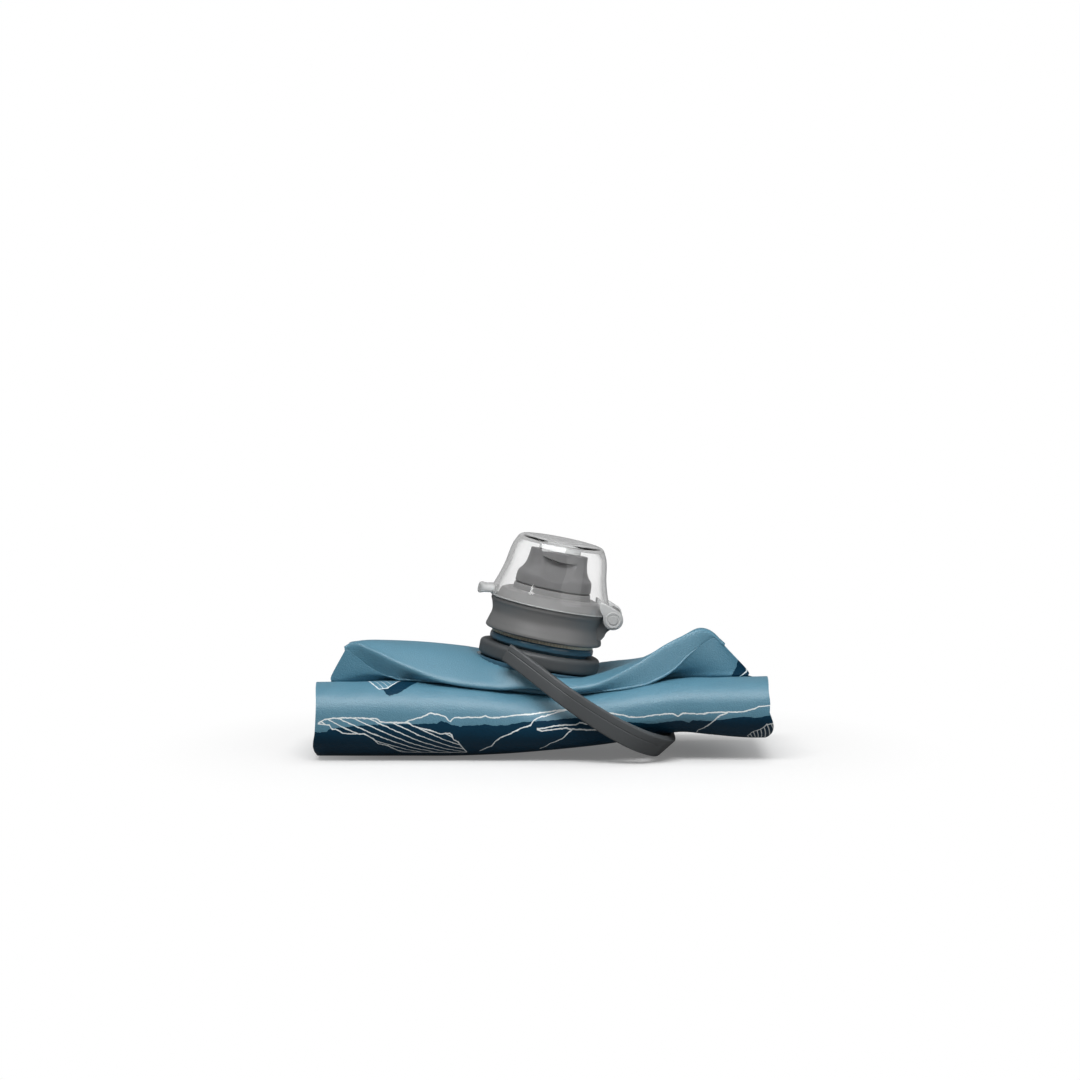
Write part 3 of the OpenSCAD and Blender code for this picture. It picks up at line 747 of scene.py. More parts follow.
def hinge_boss(name, s, t, side, material):
    """Concentric rings moulded on the outside of a hinge arm."""
    steps = [
        (0.0, -0.4), (0.0, 0.35), (1.15, 0.35), (1.25, 0.2), (1.25, 0.12), (1.7, 0.12), (1.8, 0.3),
        (2.15, 0.3), (2.25, 0.1), (2.3, -0.4),
    ]
    r, y = np.array(steps).T
    angle = np.linspace(0, 2 * math.pi, 64, endpoint=False)
    outwards = np.broadcast_to(side * (ARM_OUT + y), (len(angle), len(y)))
    local = np.stack([s + np.outer(np.cos(angle), r), outwards, t + np.outer(np.sin(angle), r)], -1)
    faces = grid_faces(len(angle), len(y), wrap_rows=True)
    return sharp_smooth(merged(mesh_object(name, neck_world(local).reshape(-1, 3), faces, material)))


def tab_top():
    """Rows of (s, y, t) points over the tab's upper face, from the skirt out to the tip."""
    root = COVER_R - 0.9
    points = []
    for share in np.linspace(0, 1, TAB_POINTS):
        s = -root - (TAB_REACH - root) * share
        taper = max(0.0, (share - 0.25) / 0.75) ** 2.2
        width = TAB_HALF * math.sqrt(max(0.0, 1 - taper)) + 0.02
        lip = 0.35 * smooth((share - 0.55) / 0.3) - 0.5 * smooth((share - 0.88) / 0.12)
        for side in np.linspace(-1, 1, TAB_POINTS):
            crown = 1 - 0.55 * abs(side) ** 6
            points.append((s, width * side, TAB_LOW + (TAB_HIGH - TAB_LOW) * (0.5 + 0.5 * crown) + lip))
    return np.array(points)


def make_tab(material):
    """Thumb tab: a rounded tongue on the cover's skirt, thicker at its lip."""
    top = tab_top()
    bottom = top.copy()
    bottom[:, 2] = 2 * TAB_LOW + 1.1 - bottom[:, 2]
    for side in (top, bottom):
        side[:, 2] += TAB_DROOP * (side[:, 0] + COVER_R)
    upper = grid_faces(TAB_POINTS, TAB_POINTS)
    shift = TAB_POINTS**2
    faces = upper.tolist() + (upper[:, ::-1] + shift).tolist()
    index = np.arange(shift).reshape(TAB_POINTS, TAB_POINTS)
    rim = np.concatenate([index[0], index[1:, -1], index[-1, -2::-1], index[-2:0:-1, 0]]).tolist()
    faces += [(a, a + shift, b + shift, b) for a, b in zip(rim, rim[1:] + rim[:1])]
    obj = merged(mesh_object("cover_tab", neck_world(np.concatenate([top, bottom])), faces, material))
    obj.modifiers.new("round", "SUBSURF").levels = 1
    use_modifiers(obj)
    return sharp_smooth(obj, 60)


# ---- Neck ----

FLANGE_R = 14.7
COLLAR_R = 13.3
INSERT_R = 11.9
WELD_R = 17.3
WELD_LOW, WELD_TOP = -9.3, -8.1
BEAD_LOW, BEAD_TOP = -3.05, -0.95
RIB_R = 14.4
RIB_LOW, RIB_TOP = -1.0, -0.15
RIB_COUNT = 96
RIB_DEPTH = 0.12


def ribbed_shape(local):
    """Fine upright ribs round a thin ring."""
    x, y = local[..., 0], local[..., 1]
    outside = np.hypot(x, y) > RIB_R - 0.5
    depth = np.where(outside, RIB_DEPTH * (1 + np.sin(RIB_COUNT * np.arctan2(y, x))), 0.0)
    scale = 1 - depth / RIB_R
    local[..., 0], local[..., 1] = x * scale, y * scale
    return local


def make_collar(material, ivory):
    """The blue collar with its weld flange and bead, and the milky ribbed ring on top of it."""
    inside = INSERT_R + 0.05
    outline = [
        (inside, WELD_LOW), (WELD_R, WELD_LOW, 0.2), (WELD_R, WELD_TOP, 0.3), (COLLAR_R, WELD_TOP, 0.3),
        (COLLAR_R, BEAD_LOW, 0.1), (FLANGE_R, BEAD_LOW, 1.0), (FLANGE_R, BEAD_TOP, 1.0), (inside, BEAD_TOP),
    ]
    collar = lathe("neck_collar", fillet(outline), material)
    attach(collar, "shoulder", "collar_film_blue", "neck_fitment")
    ribs = [(inside, RIB_LOW), (RIB_R, RIB_LOW, 0.1), (RIB_R, RIB_TOP, 0.2), (inside, RIB_TOP)]
    ribbed = lathe("neck_ribs", fillet(ribs), ivory, segments=480, shape=ribbed_shape)
    attach(ribbed, "shoulder", "neck_plastic")


# ---- Handle ----

RING_R = 17.0
RING_LOW, RING_TOP = -7.8, -3.6
LOOP_SLOPE = math.radians(31.2)
LOOP_REACH = 48.7
LOOP_ROOT_Q = 18.9
LOOP_WIDE_Q = 28.0
FLARE_END = 17.0
BEND_START = 28.0
BEND_POWER = 4.0
LOOP_SAG = 1.7
ROOT_SHIFT, ROOT_RUN = 3.7, 16.0
LOOP_TWIST = math.radians(17)
LOOP_ROWS = 181
BAND_T = 2.3
BAND_ROOT_W, BAND_W = 5.0, 6.6
BAND_CORNER = 0.55
# The parting line, as a share of the band's half width, its own half width and its depth.
GROOVE_AT, GROOVE_W, GROOVE_DEPTH = 0.28, 0.14, 0.12


def make_ring(material):
    outline = [
        (COLLAR_R + 0.1, RING_LOW, 0.3), (RING_R, RING_LOW, 1.3), (RING_R + 0.05, RING_TOP, 1.3),
        (COLLAR_R + 0.1, RING_TOP, 0.3),
    ]
    ring = lathe("swivel_ring", fillet(outline, 8), material)
    attach(ring, "handle_ring", "loop_rubber", "handle_ring")


def loop_q(p):
    """Half the loop's width at distance p from its roots."""
    if p < BEND_START:
        return LOOP_ROOT_Q + (LOOP_WIDE_Q - LOOP_ROOT_Q) * smooth(p / FLARE_END)
    far = (p - BEND_START) / (LOOP_REACH - BEND_START)
    return LOOP_WIDE_Q * max(0.0, 1 - far**BEND_POWER) ** (1 / BEND_POWER)


def loop_path():
    """Evenly spaced (p, q) points from one root round the end of the loop to the other."""
    reach = LOOP_REACH * np.sin(np.linspace(0, math.pi / 2, 400))
    half = np.array([(p, loop_q(p)) for p in reach])
    whole = np.concatenate([half * [1, -1], half[-2::-1]])
    length = np.concatenate([[0], np.cumsum(np.linalg.norm(np.diff(whole, axis=0), axis=1))])
    at = np.linspace(0, length[-1], LOOP_ROWS)
    path = np.column_stack([np.interp(at, length, whole[:, 0]), np.interp(at, length, whole[:, 1])])
    return path, at / length[-1]


def band_section(width):
    """Rounded band outline (a outwards, b across) with a parting line on its outer face."""
    w, t = width / 2, BAND_T / 2
    at = w * GROOVE_AT
    # The outer points beside the groove keep the face round it flat.
    outline = [
        (-t, -w, BAND_CORNER), (t, -w, BAND_CORNER), (t, at - 2 * GROOVE_W), (t, at - GROOVE_W),
        (t - GROOVE_DEPTH, at), (t, at + GROOVE_W), (t, at + 2 * GROOVE_W), (t, w, BAND_CORNER),
        (-t, w, BAND_CORNER),
    ]
    return fillet(outline, 4)


def make_loop(material):
    """The carry loop: a band swept round its path, turned on edge more and more towards its end."""
    path, share = loop_path()
    tangent = np.gradient(path, axis=0)
    tangent /= np.linalg.norm(tangent, axis=1)[:, None]
    along = np.array([math.cos(LOOP_SLOPE), 0, -math.sin(LOOP_SLOPE)])
    across = np.array([math.sin(LOOP_SLOPE), 0, math.cos(LOOP_SLOPE)])
    rows = []
    for (p, q), (tp, tq), s in zip(path, tangent, share):
        from_root = min(s, 1 - s) * 2
        width = BAND_ROOT_W + (BAND_W - BAND_ROOT_W) * smooth(from_root / 0.8)
        section = band_section(width)
        sag = LOOP_SAG * math.sin(math.pi * (p / LOOP_REACH) ** 1.3)
        back = ROOT_SHIFT * (1 - smooth(p / ROOT_RUN))
        centre = LOOP_ROOT + along * (p - back) + np.array([0, q, 0]) - across * sag
        outward_dir = along * tq + np.array([0, -tp, 0])
        twist = LOOP_TWIST * smooth((p - BEND_START) / (LOOP_REACH - BEND_START))
        width_dir = across * math.cos(twist) + outward_dir * math.sin(twist)
        face_dir = outward_dir * math.cos(twist) - across * math.sin(twist)
        shift = ((1 - math.cos(twist)) * across - math.sin(twist) * outward_dir) * width / 2
        rows.append(centre + shift + np.outer(section[:, 0], face_dir) + np.outer(section[:, 1], width_dir))
    points = np.array(rows)
    cols = points.shape[1]
    faces = grid_faces(LOOP_ROWS, cols, wrap_cols=True).tolist()
    last = LOOP_ROWS * cols - 1
    faces += [list(range(cols)), list(range(last, last - cols, -1))]
    loop = sharp_smooth(merged(mesh_object("handle_loop", points.reshape(-1, 3), faces, material)), 50)
    attach(loop, "handle_strap", "loop_rubber", "handle_strap")


# ---- Materials ----


class Nodes:
    """Short calls for building the node tree of a material or of the world."""

    def __init__(self, owner):
        owner.use_nodes = True
        self.owner = owner
        self.tree = owner.node_tree
        self.bsdf = self.tree.nodes.get("Principled BSDF")

    def new(self, kind, **settings):
        node = self.tree.nodes.new(kind)
        for key, value in settings.items():
            setattr(node, key, value)
        return node

    def link(self, source, target):
        self.tree.links.new(source, target)

    def put(self, value, socket):
        if isinstance(value, bpy.types.NodeSocket):
            self.link(value, socket)
        else:
            socket.default_value = value

    def math(self, operation, a, b=0.0, c=0.0):
        node = self.new("ShaderNodeMath", operation=operation)
        for value, socket in zip((a, b, c), node.inputs):
            self.put(value, socket)
        return node.outputs[0]

    def mix(self, share, a, b):
        node = self.new("ShaderNodeMix", data_type="RGBA")
        self.put(share, node.inputs[0])
        self.put(a, node.inputs[6])
        self.put(b, node.inputs[7])
        return node.outputs[2]

    def noise(self, scale, detail=2.0, roughness=0.5):
        node = self.new("ShaderNodeTexNoise")
        for name, value in (("Scale", scale), ("Detail", detail), ("Roughness", roughness)):
            node.inputs[name].default_value = value
        self.link(self.new("ShaderNodeTexCoord").outputs["Object"], node.inputs["Vector"])
        return node.outputs[0]

    def soft_step(self, value, low, high, at_low=0.0, at_high=1.0):
        """at_low where value is below low, at_high where it is above high, and a soft step between."""
        node = self.new("ShaderNodeMapRange", interpolation_type="SMOOTHSTEP")
        for setting, socket in zip((value, low, high, at_low, at_high), node.inputs):
            self.put(setting, socket)
        return node.outputs[0]

    def bump(self, height, strength, distance_mm, normal=None):
        node = self.new("ShaderNodeBump")
        node.inputs["Strength"].default_value = strength
        node.inputs["Distance"].default_value = distance_mm * MM
        self.link(height, node.inputs["Height"])
        if normal is not None:
            self.link(normal, node.inputs["Normal"])
        return node.outputs[0]

    def set(self, **values):
        for key, value in values.items():
            self.put(value, self.bsdf.inputs[key.replace("_", " ")])
        return self.owner

    def two_shaders(self, share, first, second):
        """Shows a mix of two shaders instead of the plain surface."""
        both = self.new("ShaderNodeMixShader")
        for source, socket in zip((share, first, second), both.inputs):
            self.link(source, socket)
        self.link(both.outputs[0], self.tree.nodes["Material Output"].inputs["Surface"])
        return self.owner


def material_nodes(name):
    return Nodes(bpy.data.materials.new(name))


def plastic(name, colour, roughness, grain=0.02, variation=0.06):
    """Moulded plastic: fine spark texture, slow colour drift and slightly uneven gloss."""
    n = material_nodes(name)
    pale, deep = ((*[c * share for c in colour], 1) for share in (1 + variation, 1 - variation))
    gloss = n.math("MULTIPLY_ADD", n.noise(400.0), 0.12, roughness - 0.06)
    n.set(Base_Color=n.mix(n.noise(90.0, 3.0), deep, pale), Roughness=gloss)
    return n.set(Normal=n.bump(n.noise(5200.0, 3.0, 0.6), 0.5, grain))


LIGHT_FILM = (0.096, 0.250, 0.345)
NAVY = (0.003, 0.034, 0.068)
PRINT_WHITE = (0.86, 0.90, 0.90)

# The printed landscape, as (u, v) points in mm on the flat film. v runs down the pouch.
SKYLINE = [
    (-65, 2.1), (-60, 2), (-59.5, 1.4), (-55, 0.7), (-47.5, 0.1), (-35, -0.2), (-29, -0.4), (-28, -1.2),
    (-25, -0.1), (-23.5, 0), (-22.5, 0.5), (-22, 0), (-17, -0.2), (-16, -0.6), (-14, -0.2), (-10, -0.5),
    (-5, -1.5), (10, -2), (18, -0.5), (25.5, 1.5), (30, 2.8), (38, 2.8), (40, 3.7), (41, 2.7), (46, 2.6),
    (51, 1.8), (55, 1.1), (60, 1.4), (65, 0.5),
]
RIDGE_LINE = [
    (-63, -0.4), (-61, -1.5), (-54, -1.9), (-45.5, -1.6), (-44.5, -0.6), (-38.5, -0.4), (-33.5, -2),
    (-32, -2.4), (-31, -3.3), (-27, -2.4), (-25.5, -0.9), (-24.5, -2.1), (-17, -2.4), (-16, -2.8),
    (-14, -2.3), (-8, -3.1), (4, -4.1), (9, -4.1), (19.5, -2), (25, 0), (28, 0.3), (35, 0.4), (37, 1.5),
    (38, 0.7), (43, 0.8), (47, 0.2), (54.5, -0.2), (60, -1.6), (64, -2),
]
GULLY_LINE = [
    (-17.5, 9.5), (-15.7, 7.5), (-14.1, 6.2), (-13, 4.2), (-11.7, 3), (-8.7, 1.7), (-6.6, 0.5), (-3.4, -0.6),
    (-2.5, -1.9), (-0.7, -2.7), (2, -3.1), (3.8, -3.7), (7, -4.1),
]
STREAM_LINE = [
    (-1, 9), (0.5, 7.4), (2, 5.2), (5, 3.7), (7, 1.7), (8, 0.9), (10.5, 1.2), (12.5, 1.5), (16, 1.9),
]
LAKE_TOP = [(-1.7, 0.4), (0.5, 0.3), (3, -0.3), (9, -0.2), (10, -0.6), (12, -0.1), (14.5, 0.4)]
LAKE_LOW = [(-1.7, 0.5), (-0.2, 1), (3, 0.7), (6.5, 0.5), (8, 1)]
VALLEY_LINE = [(42.4, 10), (42.8, 7.3), (44.7, 5), (46.6, 2.7), (48.5, 1), (50.7, 0.1)]
FIELD_TOP = [
    (-63.2, -0.4), (-61, -1.5), (-54, -1.9), (-45.5, -1.6), (-44.5, -0.6), (-37, -0.5), (-35.5, 0.4),
    (-32.5, 1.2), (-30, 1.8), (-28, 2.5), (-25.6, 2.3), (-24.9, 3), (-24.5, 4.2), (-23.2, 5.1), (-22, 7.9),
    (-21, 10.5),
]
FIELD_LOW = [
    (-63.2, -0.3), (-59, 0.1), (-58, 1.3), (-56.8, 1.3), (-54.7, 2.4), (-49, 2.7), (-46.5, 4.2), (-45.2, 6),
    (-42.6, 6.9), (-39, 10.5), (-21, 11),
]
SLOPE_TOP = [(56.4, 10.5), (57.4, 7.6), (58, 6.7), (59.6, 5.9), (61, 4.6), (62, 3.5), (65, 3)]
PEAK_LOW = [
    (-45, -10.8), (-43.8, -10.1), (-43.1, -8.6), (-42.2, -7.9), (-40, -8.6), (-37.8, -10.7), (-36.8, -12.3),
    (-35.2, -14.8), (-34.4, -18),
]
PEAK_TOP = [(-48.5, -17.5), (-47.1, -13.8), (-45.2, -10.7), (-42.7, -11.3), (-40.9, -14.4), (-39.5, -17.5)]
WING_TOP = [(58.2, -28.5), (58.5, -30), (62, -32.5), (65, -33.8)]
WING_LINE = [(61, -28.6), (62, -29.4), (63.2, -30.1), (65, -31.5)]
LANDSCAPE_LINES = [
    RIDGE_LINE, GULLY_LINE, STREAM_LINE, LAKE_TOP, LAKE_LOW, VALLEY_LINE, FIELD_TOP, FIELD_LOW, SLOPE_TOP,
]
# Hatched fields: the slant of their lines, the lines' pitch and the field's limits in u.
FIELD_SLANT, FIELD_PITCH, FIELD_LIMITS = -0.46, 1.85, (-63, -21)
SLOPE_SLANT, SLOPE_PITCH, SLOPE_LIMITS, SLOPE_LOW = -0.3, 1.3, (56.4, 65), 12.5
SNOW_SLANT, SNOW_PITCH, SNOW_LIMITS, SNOW_TOP = -2.0, 3.2, (-48.5, -42), -17.5
# The peak runs between these; past PEAK_MID only its lower line bounds it.
PEAK_LEFT, PEAK_MID, PEAK_RIGHT, PEAK_CROWN = -45, -39.5, -34.4, -18.0
WING_LEFT = 58.2
WING_LIMITS = (-40, -22)
STROKE = 0.17
HATCH_STROKE = 0.16
# How far the torn edges of the print wander.
TEAR = 0.7
# Further down the film the landscape comes a second time, the other way round.
PRINT_END = 27.0
PRINT_REPEAT = 46.0


def table_curve(n, u, points):
    """Value of the line through the (u, v) points, from a curve node."""
    margin = 0.5
    low, high = points[0][0], points[-1][0]
    bottom = min(p[1] for p in points) - margin
    top = max(p[1] for p in points) + margin
    node = n.new("ShaderNodeFloatCurve")
    curve = node.mapping.curves[0]
    places = [((p[0] - low) / (high - low), (p[1] - bottom) / (top - bottom)) for p in points]
    curve.points[0].location = places[0]
    curve.points[1].location = places[-1]
    for place in places[1:-1]:
        curve.points.new(*place)
    for point in curve.points:
        point.handle_type = "VECTOR"
    node.mapping.update()
    share = n.math("MULTIPLY_ADD", u, 1 / (high - low), -low / (high - low))
    n.link(share, node.inputs["Value"])
    return n.math("MULTIPLY_ADD", node.outputs[0], top - bottom, bottom)


def within(n, value, low, high):
    """1 where value is between low and high."""
    return n.math("MULTIPLY", n.math("GREATER_THAN", value, low), n.math("LESS_THAN", value, high))


def line_mask(n, distance, half_width):
    """1 on the line, with a soft edge."""
    return n.soft_step(distance, half_width - 0.05, half_width + 0.06, 1.0, 0.0)


def stroke(n, u, v, points):
    """A printed line of even width along the points."""
    step = 0.3
    here = table_curve(n, u, points)
    ahead = table_curve(n, n.math("ADD", u, step), points)
    slope = n.math("DIVIDE", n.math("SUBTRACT", ahead, here), step)
    stretch = n.math("SQRT", n.math("MULTIPLY_ADD", slope, slope, 1.0))
    distance = n.math("DIVIDE", n.math("ABSOLUTE", n.math("SUBTRACT", v, here)), stretch)
    inside = within(n, u, points[0][0], points[-1][0])
    return n.math("MULTIPLY", inside, line_mask(n, distance, STROKE))


def hatching(n, across, pitch, field):
    """Parallel lines in a field."""
    wrapped = n.math("ABSOLUTE", n.math("WRAP", across, pitch / 2, -pitch / 2))
    return n.math("MULTIPLY", line_mask(n, wrapped, HATCH_STROKE), field)


def both(n, first, second):
    return n.math("MULTIPLY", first, second)


def either(n, masks):
    total = masks[0]
    for mask in masks[1:]:
        total = n.math("MAXIMUM", total, mask)
    return total


def landscape(n, u, v):
    """(navy, white) masks of one printed landscape."""
    white = [stroke(n, u, v, line) for line in LANDSCAPE_LINES]
    between = within(n, v, table_curve(n, u, FIELD_TOP), table_curve(n, u, FIELD_LOW))
    field = both(n, between, within(n, u, *FIELD_LIMITS))
    white.append(hatching(n, n.math("MULTIPLY_ADD", u, FIELD_SLANT, v), FIELD_PITCH, field))
    between = within(n, v, table_curve(n, u, SLOPE_TOP), SLOPE_LOW)
    field = both(n, between, within(n, u, *SLOPE_LIMITS))
    white.append(hatching(n, n.math("MULTIPLY_ADD", v, SLOPE_SLANT, u), SLOPE_PITCH, field))
    navy = within(n, v, table_curve(n, u, SKYLINE), PRINT_END)
    return navy, either(n, white)


def far_peaks(n, u, v):
    """(navy, white) masks of the peak and the wing above the main landscape."""
    top = table_curve(n, u, PEAK_TOP)
    low = table_curve(n, u, PEAK_LOW)
    west = both(n, within(n, v, top, low), within(n, u, PEAK_LEFT, PEAK_MID))
    east = both(n, within(n, v, PEAK_CROWN, low), within(n, u, PEAK_MID, PEAK_RIGHT))
    wing = both(n, n.math("GREATER_THAN", v, table_curve(n, u, WING_TOP)), within(n, v, *WING_LIMITS))
    wing = both(n, wing, n.math("GREATER_THAN", u, WING_LEFT))
    snow_field = both(n, within(n, v, SNOW_TOP, top), within(n, u, *SNOW_LIMITS))
    snow = hatching(n, n.math("MULTIPLY_ADD", u, SNOW_SLANT, v), SNOW_PITCH, snow_field)
    edges = [stroke(n, u, v, line) for line in (PEAK_TOP, WING_LINE)]
    return either(n, [west, east, wing]), either(n, [*edges, snow])


def film_material():
    """Printed film: steel blue with a fine pebbled sheen, navy landscape and thin white lines."""
    n = material_nodes("printed_film")
    u = n.new("ShaderNodeAttribute", attribute_name="film_u").outputs["Fac"]
    v = n.new("ShaderNodeAttribute", attribute_name="film_v").outputs["Fac"]
    torn = n.math("MULTIPLY_ADD", n.noise(700.0, 3.0, 0.6), TEAR, -TEAR / 2)
    rough_v = n.math("ADD", v, torn)
    navy, white = landscape(n, u, rough_v)
    again_v = n.math("SUBTRACT", rough_v, PRINT_REPEAT)
    navy_again, white_again = landscape(n, n.math("MULTIPLY", u, -1.0), again_v)
    navy_far, white_far = far_peaks(n, u, rough_v)
    pebble = n.noise(2600.0, 3.0, 0.6)
    cloud = n.math("MULTIPLY_ADD", pebble, 0.8, n.math("MULTIPLY", n.noise(55.0, 3.0), 0.4))
    blue = n.mix(cloud, (*[c * 0.80 for c in LIGHT_FILM], 1), (*[c * 1.14 for c in LIGHT_FILM], 1))
    inked = either(n, [navy, navy_again, navy_far])
    colour = n.mix(inked, blue, (*NAVY, 1))
    colour = n.mix(either(n, [white, white_again, white_far]), colour, (*PRINT_WHITE, 1))
    crease = n.noise(130.0, 4.0, 0.55)
    gloss = n.math("MULTIPLY_ADD", pebble, 0.16, 0.30)
    soft = n.bump(crease, 0.35, 0.35)
    sheen = n.math("MULTIPLY_ADD", inked, -0.65, 0.8)
    n.set(Base_Color=colour, Roughness=gloss, Specular_IOR_Level=sheen)
    return n.set(Normal=n.bump(pebble, 1.0, 0.16, soft))


def clear_material():
    """Clear moulded plastic, with painted grey shading along its edges. Lamps shine through it, so that the
    spout inside stays lit.
    """
    n = material_nodes("clear_cover")
    haze = n.math("MULTIPLY", n.noise(160.0, 3.0), 0.03)
    wave = n.bump(n.noise(240.0, 1.0), 0.05, 0.1)
    # Painted edge shading: where the wall is seen at a grazing angle it is painted greyer and less clear,
    # standing in for the reflections along the cover's edges.
    edge = n.new("ShaderNodeLayerWeight")
    edge.inputs["Blend"].default_value = 0.5
    rim = n.soft_step(edge.outputs["Facing"], 0.55, 0.95)
    edge_shade_tint = n.mix(rim, (0.99, 0.99, 0.99, 1), (0.80, 0.805, 0.81, 1))
    n.set(Base_Color=edge_shade_tint, Roughness=haze, Normal=wave, IOR=1.46, Specular_IOR_Level=0.1)
    n.set(Transmission_Weight=n.math("MULTIPLY_ADD", rim, -0.6, 1.0))
    is_shadow = n.new("ShaderNodeLightPath").outputs["Is Shadow Ray"]
    through = n.new("ShaderNodeBsdfTransparent")
    return n.two_shaders(is_shadow, n.bsdf.outputs[0], through.outputs[0])


def frosted_material():
    """Thicker clear mouldings, which look pale and milky."""
    n = material_nodes("clear_frosted")
    shade = n.mix(n.noise(300.0), (0.80, 0.81, 0.81, 1), (0.88, 0.89, 0.89, 1))
    gloss = n.math("MULTIPLY_ADD", n.noise(700.0), 0.1, 0.2)
    n.set(Base_Color=shade, Roughness=gloss, Transmission_Weight=0.45, IOR=1.46)
    return n.set(Normal=n.bump(n.noise(900.0), 0.1, 0.05))


def gloss_plastic(name, colour, roughness, see_through):
    """Glossy moulding that lets some light through."""
    n = material_nodes(name)
    shade = n.mix(n.noise(120.0), (*[c * 0.85 for c in colour], 1), (*[min(1, c * 1.15) for c in colour], 1))
    gloss = n.math("MULTIPLY_ADD", n.noise(500.0), 0.08, roughness - 0.04)
    n.set(Base_Color=shade, Roughness=gloss, Transmission_Weight=see_through, IOR=1.48)
    return n.set(Normal=n.bump(n.noise(900.0), 0.1, 0.05))


def recolour(node, material):
    """Gives a CAD node that is shown as it is its finished material."""
    for place in frame["nodes"][node].material_slots:
        place.link = "OBJECT"
        place.material = material


film = make_film(film_material())
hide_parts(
    "front_panel_roll", "back_panel_roll", "front_panel_shoulder", "back_panel_shoulder", "base_gusset"
)
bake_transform(film, "pouch_roll", "shoulder", start=(0, 0, 0.0195), end=(0, 0, 0.027))
hold_to_neck(film)

cap_grey = plastic("cap_grey", (0.18, 0.18, 0.18), 0.42)
spout_grey = plastic("spout_grey", (0.115, 0.115, 0.117), 0.4)
loop_rubber = plastic("loop_rubber", (0.072, 0.078, 0.082), 0.5, 0.03, 0.1)
clear = clear_material()
collar_blue = gloss_plastic("collar_blue", (0.06, 0.15, 0.22), 0.13, 0.2)
ivory = gloss_plastic("neck_ivory", (0.80, 0.74, 0.60), 0.25, 0.1)
seal_black = plastic("seal_black", (0.02, 0.02, 0.02), 0.55)
pin_clear = gloss_plastic("pin_clear", (0.55, 0.56, 0.57), 0.2, 0.5)

make_cap(cap_grey)
make_spout(spout_grey)
make_cover(clear, frosted_material())
make_collar(collar_blue, ivory)
make_ring(loop_rubber)
make_loop(loop_rubber)
recolour("neck_finish", ivory)
recolour("cap_gasket", seal_black)
recolour("valve_o_rings", seal_black)
recolour("hinge_pin", pin_clear)

# ---- Stage ----

BACK_LEVEL = 0.25
DARK_LEVEL = 0.07
# Share of the backdrop that rays reflected inside the clear cover still see.
VEIL = 0.5
# Where the paper starts to glow and where it has turned into the lit backdrop.
GLOW_START, GLOW_END = 0.04, 0.12
# The glow where it starts, and for rays that don't come from the camera.
FAINT_GLOW = 0.15
FLOOR_HALF = 3000.0
# Name, place, the point that it faces, size and power of each lamp.
LAMPS = [
    ("overhead", (0.15, -0.05, 0.75), (0, 0, 0), (0.6, 0.5), 1.6),
    ("key", (-0.10, -0.58, 0.79), (0, 0, 0.02), (0.9, 0.36), 9.0),
    ("fill", (0.75, -0.75, 0.30), (0, 0, 0.02), (0.8, 0.6), 1.8),
]
CAMERA_AIM = Vector((-0.00085, 0, 0.0596))
CAMERA_DISTANCE = 0.9
CAMERA_ELEVATION = math.radians(4.5)
CAMERA_LENS = 107.1
CAMERA_SENSOR = 36.0


def placed(name, data, place, target):
    """An object at a place that looks at the target."""
    obj = bpy.data.objects.new(name, data)
    obj.location = place
    obj.rotation_euler = (Vector(target) - Vector(place)).to_track_quat("-Z", "Y").to_euler()
    bpy.context.scene.collection.objects.link(obj)
    return obj


def area_light(name, place, target, size, power):
    data = bpy.data.lights.new(name, "AREA")
    data.shape = "RECTANGLE"
    data.size, data.size_y = size
    data.energy = power
    # Clear plastic already lets the lamps' light through as unbroken shadow rays.
    placed(name, data, place, target).visible_transmission = False


def seen_directly(n):
    """1 for rays from the camera, straight or through clear plastic, and 0 for all others."""
    path = n.new("ShaderNodeLightPath").outputs
    scattered = n.math("ADD", path["Diffuse Depth"], path["Glossy Depth"])
    through = n.math("GREATER_THAN", path["Is Transmission Ray"], scattered)
    inside = n.math("GREATER_THAN", path["Transmission Depth"], path["Diffuse Depth"])
    veiled = n.math("MULTIPLY_ADD", inside, VEIL, path["Is Camera Ray"])
    return n.math("MAXIMUM", veiled, through)


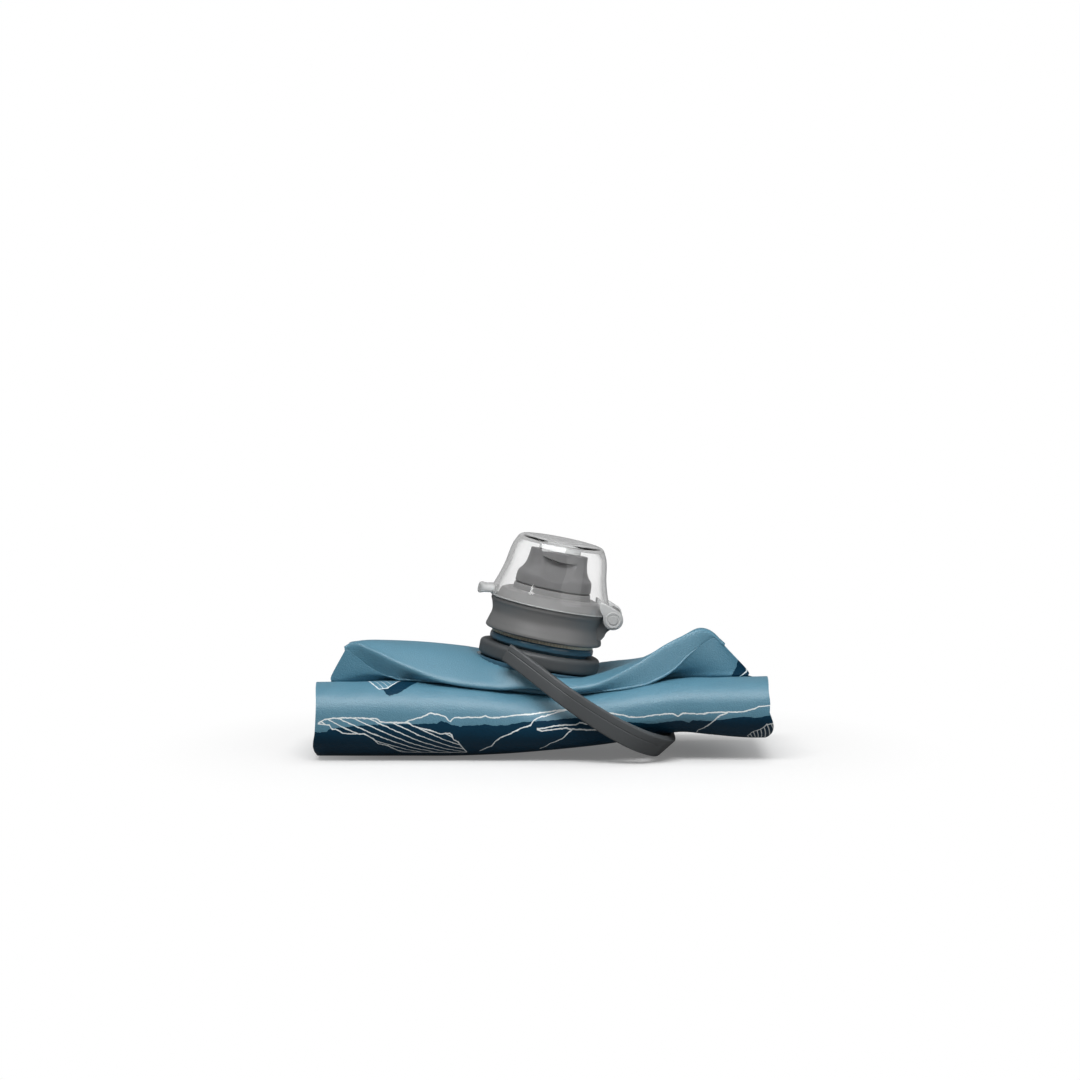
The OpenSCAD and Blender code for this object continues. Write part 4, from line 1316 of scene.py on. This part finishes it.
def make_world():
    """A white backdrop behind the object, dark studio round the camera."""
    world = bpy.data.worlds.new("studio")
    bpy.context.scene.world = world
    n = Nodes(world)
    direction = n.new("ShaderNodeSeparateXYZ")
    n.link(n.new("ShaderNodeTexCoord").outputs["Generated"], direction.inputs[0])
    level = n.soft_step(direction.outputs["Y"], 0.2, 0.9, DARK_LEVEL, BACK_LEVEL)
    background = n.tree.nodes["Background"]
    background.inputs["Color"].default_value = (1, 1, 1, 1)
    n.link(n.math("MAXIMUM", level, seen_directly(n)), background.inputs["Strength"])


def floor_material():
    """White paper near the object; it fades into a lit white backdrop further out."""
    n = material_nodes("floor_white")
    length = n.new("ShaderNodeVectorMath", operation="LENGTH")
    n.link(n.new("ShaderNodeTexCoord").outputs["Object"], length.inputs[0])
    far = n.soft_step(length.outputs["Value"], GLOW_START, GLOW_END, FAINT_GLOW)
    seen = seen_directly(n)
    paper = n.mix(n.noise(3.0), (0.94, 0.94, 0.94, 1), (0.97, 0.97, 0.97, 1))
    n.set(Base_Color=n.mix(seen, (0.3, 0.3, 0.3, 1), paper), Roughness=0.7)
    glow = n.new("ShaderNodeEmission")
    n.link(n.math("MULTIPLY_ADD", seen, 1 - FAINT_GLOW, FAINT_GLOW), glow.inputs["Strength"])
    return n.two_shaders(far, n.bsdf.outputs[0], glow.outputs[0])


def make_stage():
    make_world()
    corners = [(x * FLOOR_HALF, y * FLOOR_HALF, 0) for x, y in ((-1, -1), (1, -1), (1, 1), (-1, 1))]
    mesh_object("floor", corners, [(0, 1, 2, 3)], floor_material())
    for lamp in LAMPS:
        area_light(*lamp)


def make_camera():
    data = bpy.data.cameras.new("camera")
    data.sensor_width = CAMERA_SENSOR
    data.lens = CAMERA_LENS
    data.clip_end = 20
    back = Vector((0, -math.cos(CAMERA_ELEVATION), math.sin(CAMERA_ELEVATION))) * CAMERA_DISTANCE
    bpy.context.scene.camera = placed("camera", data, CAMERA_AIM + back, CAMERA_AIM)


make_stage()
make_camera()
bpy.context.scene.view_settings.view_transform = "Standard"
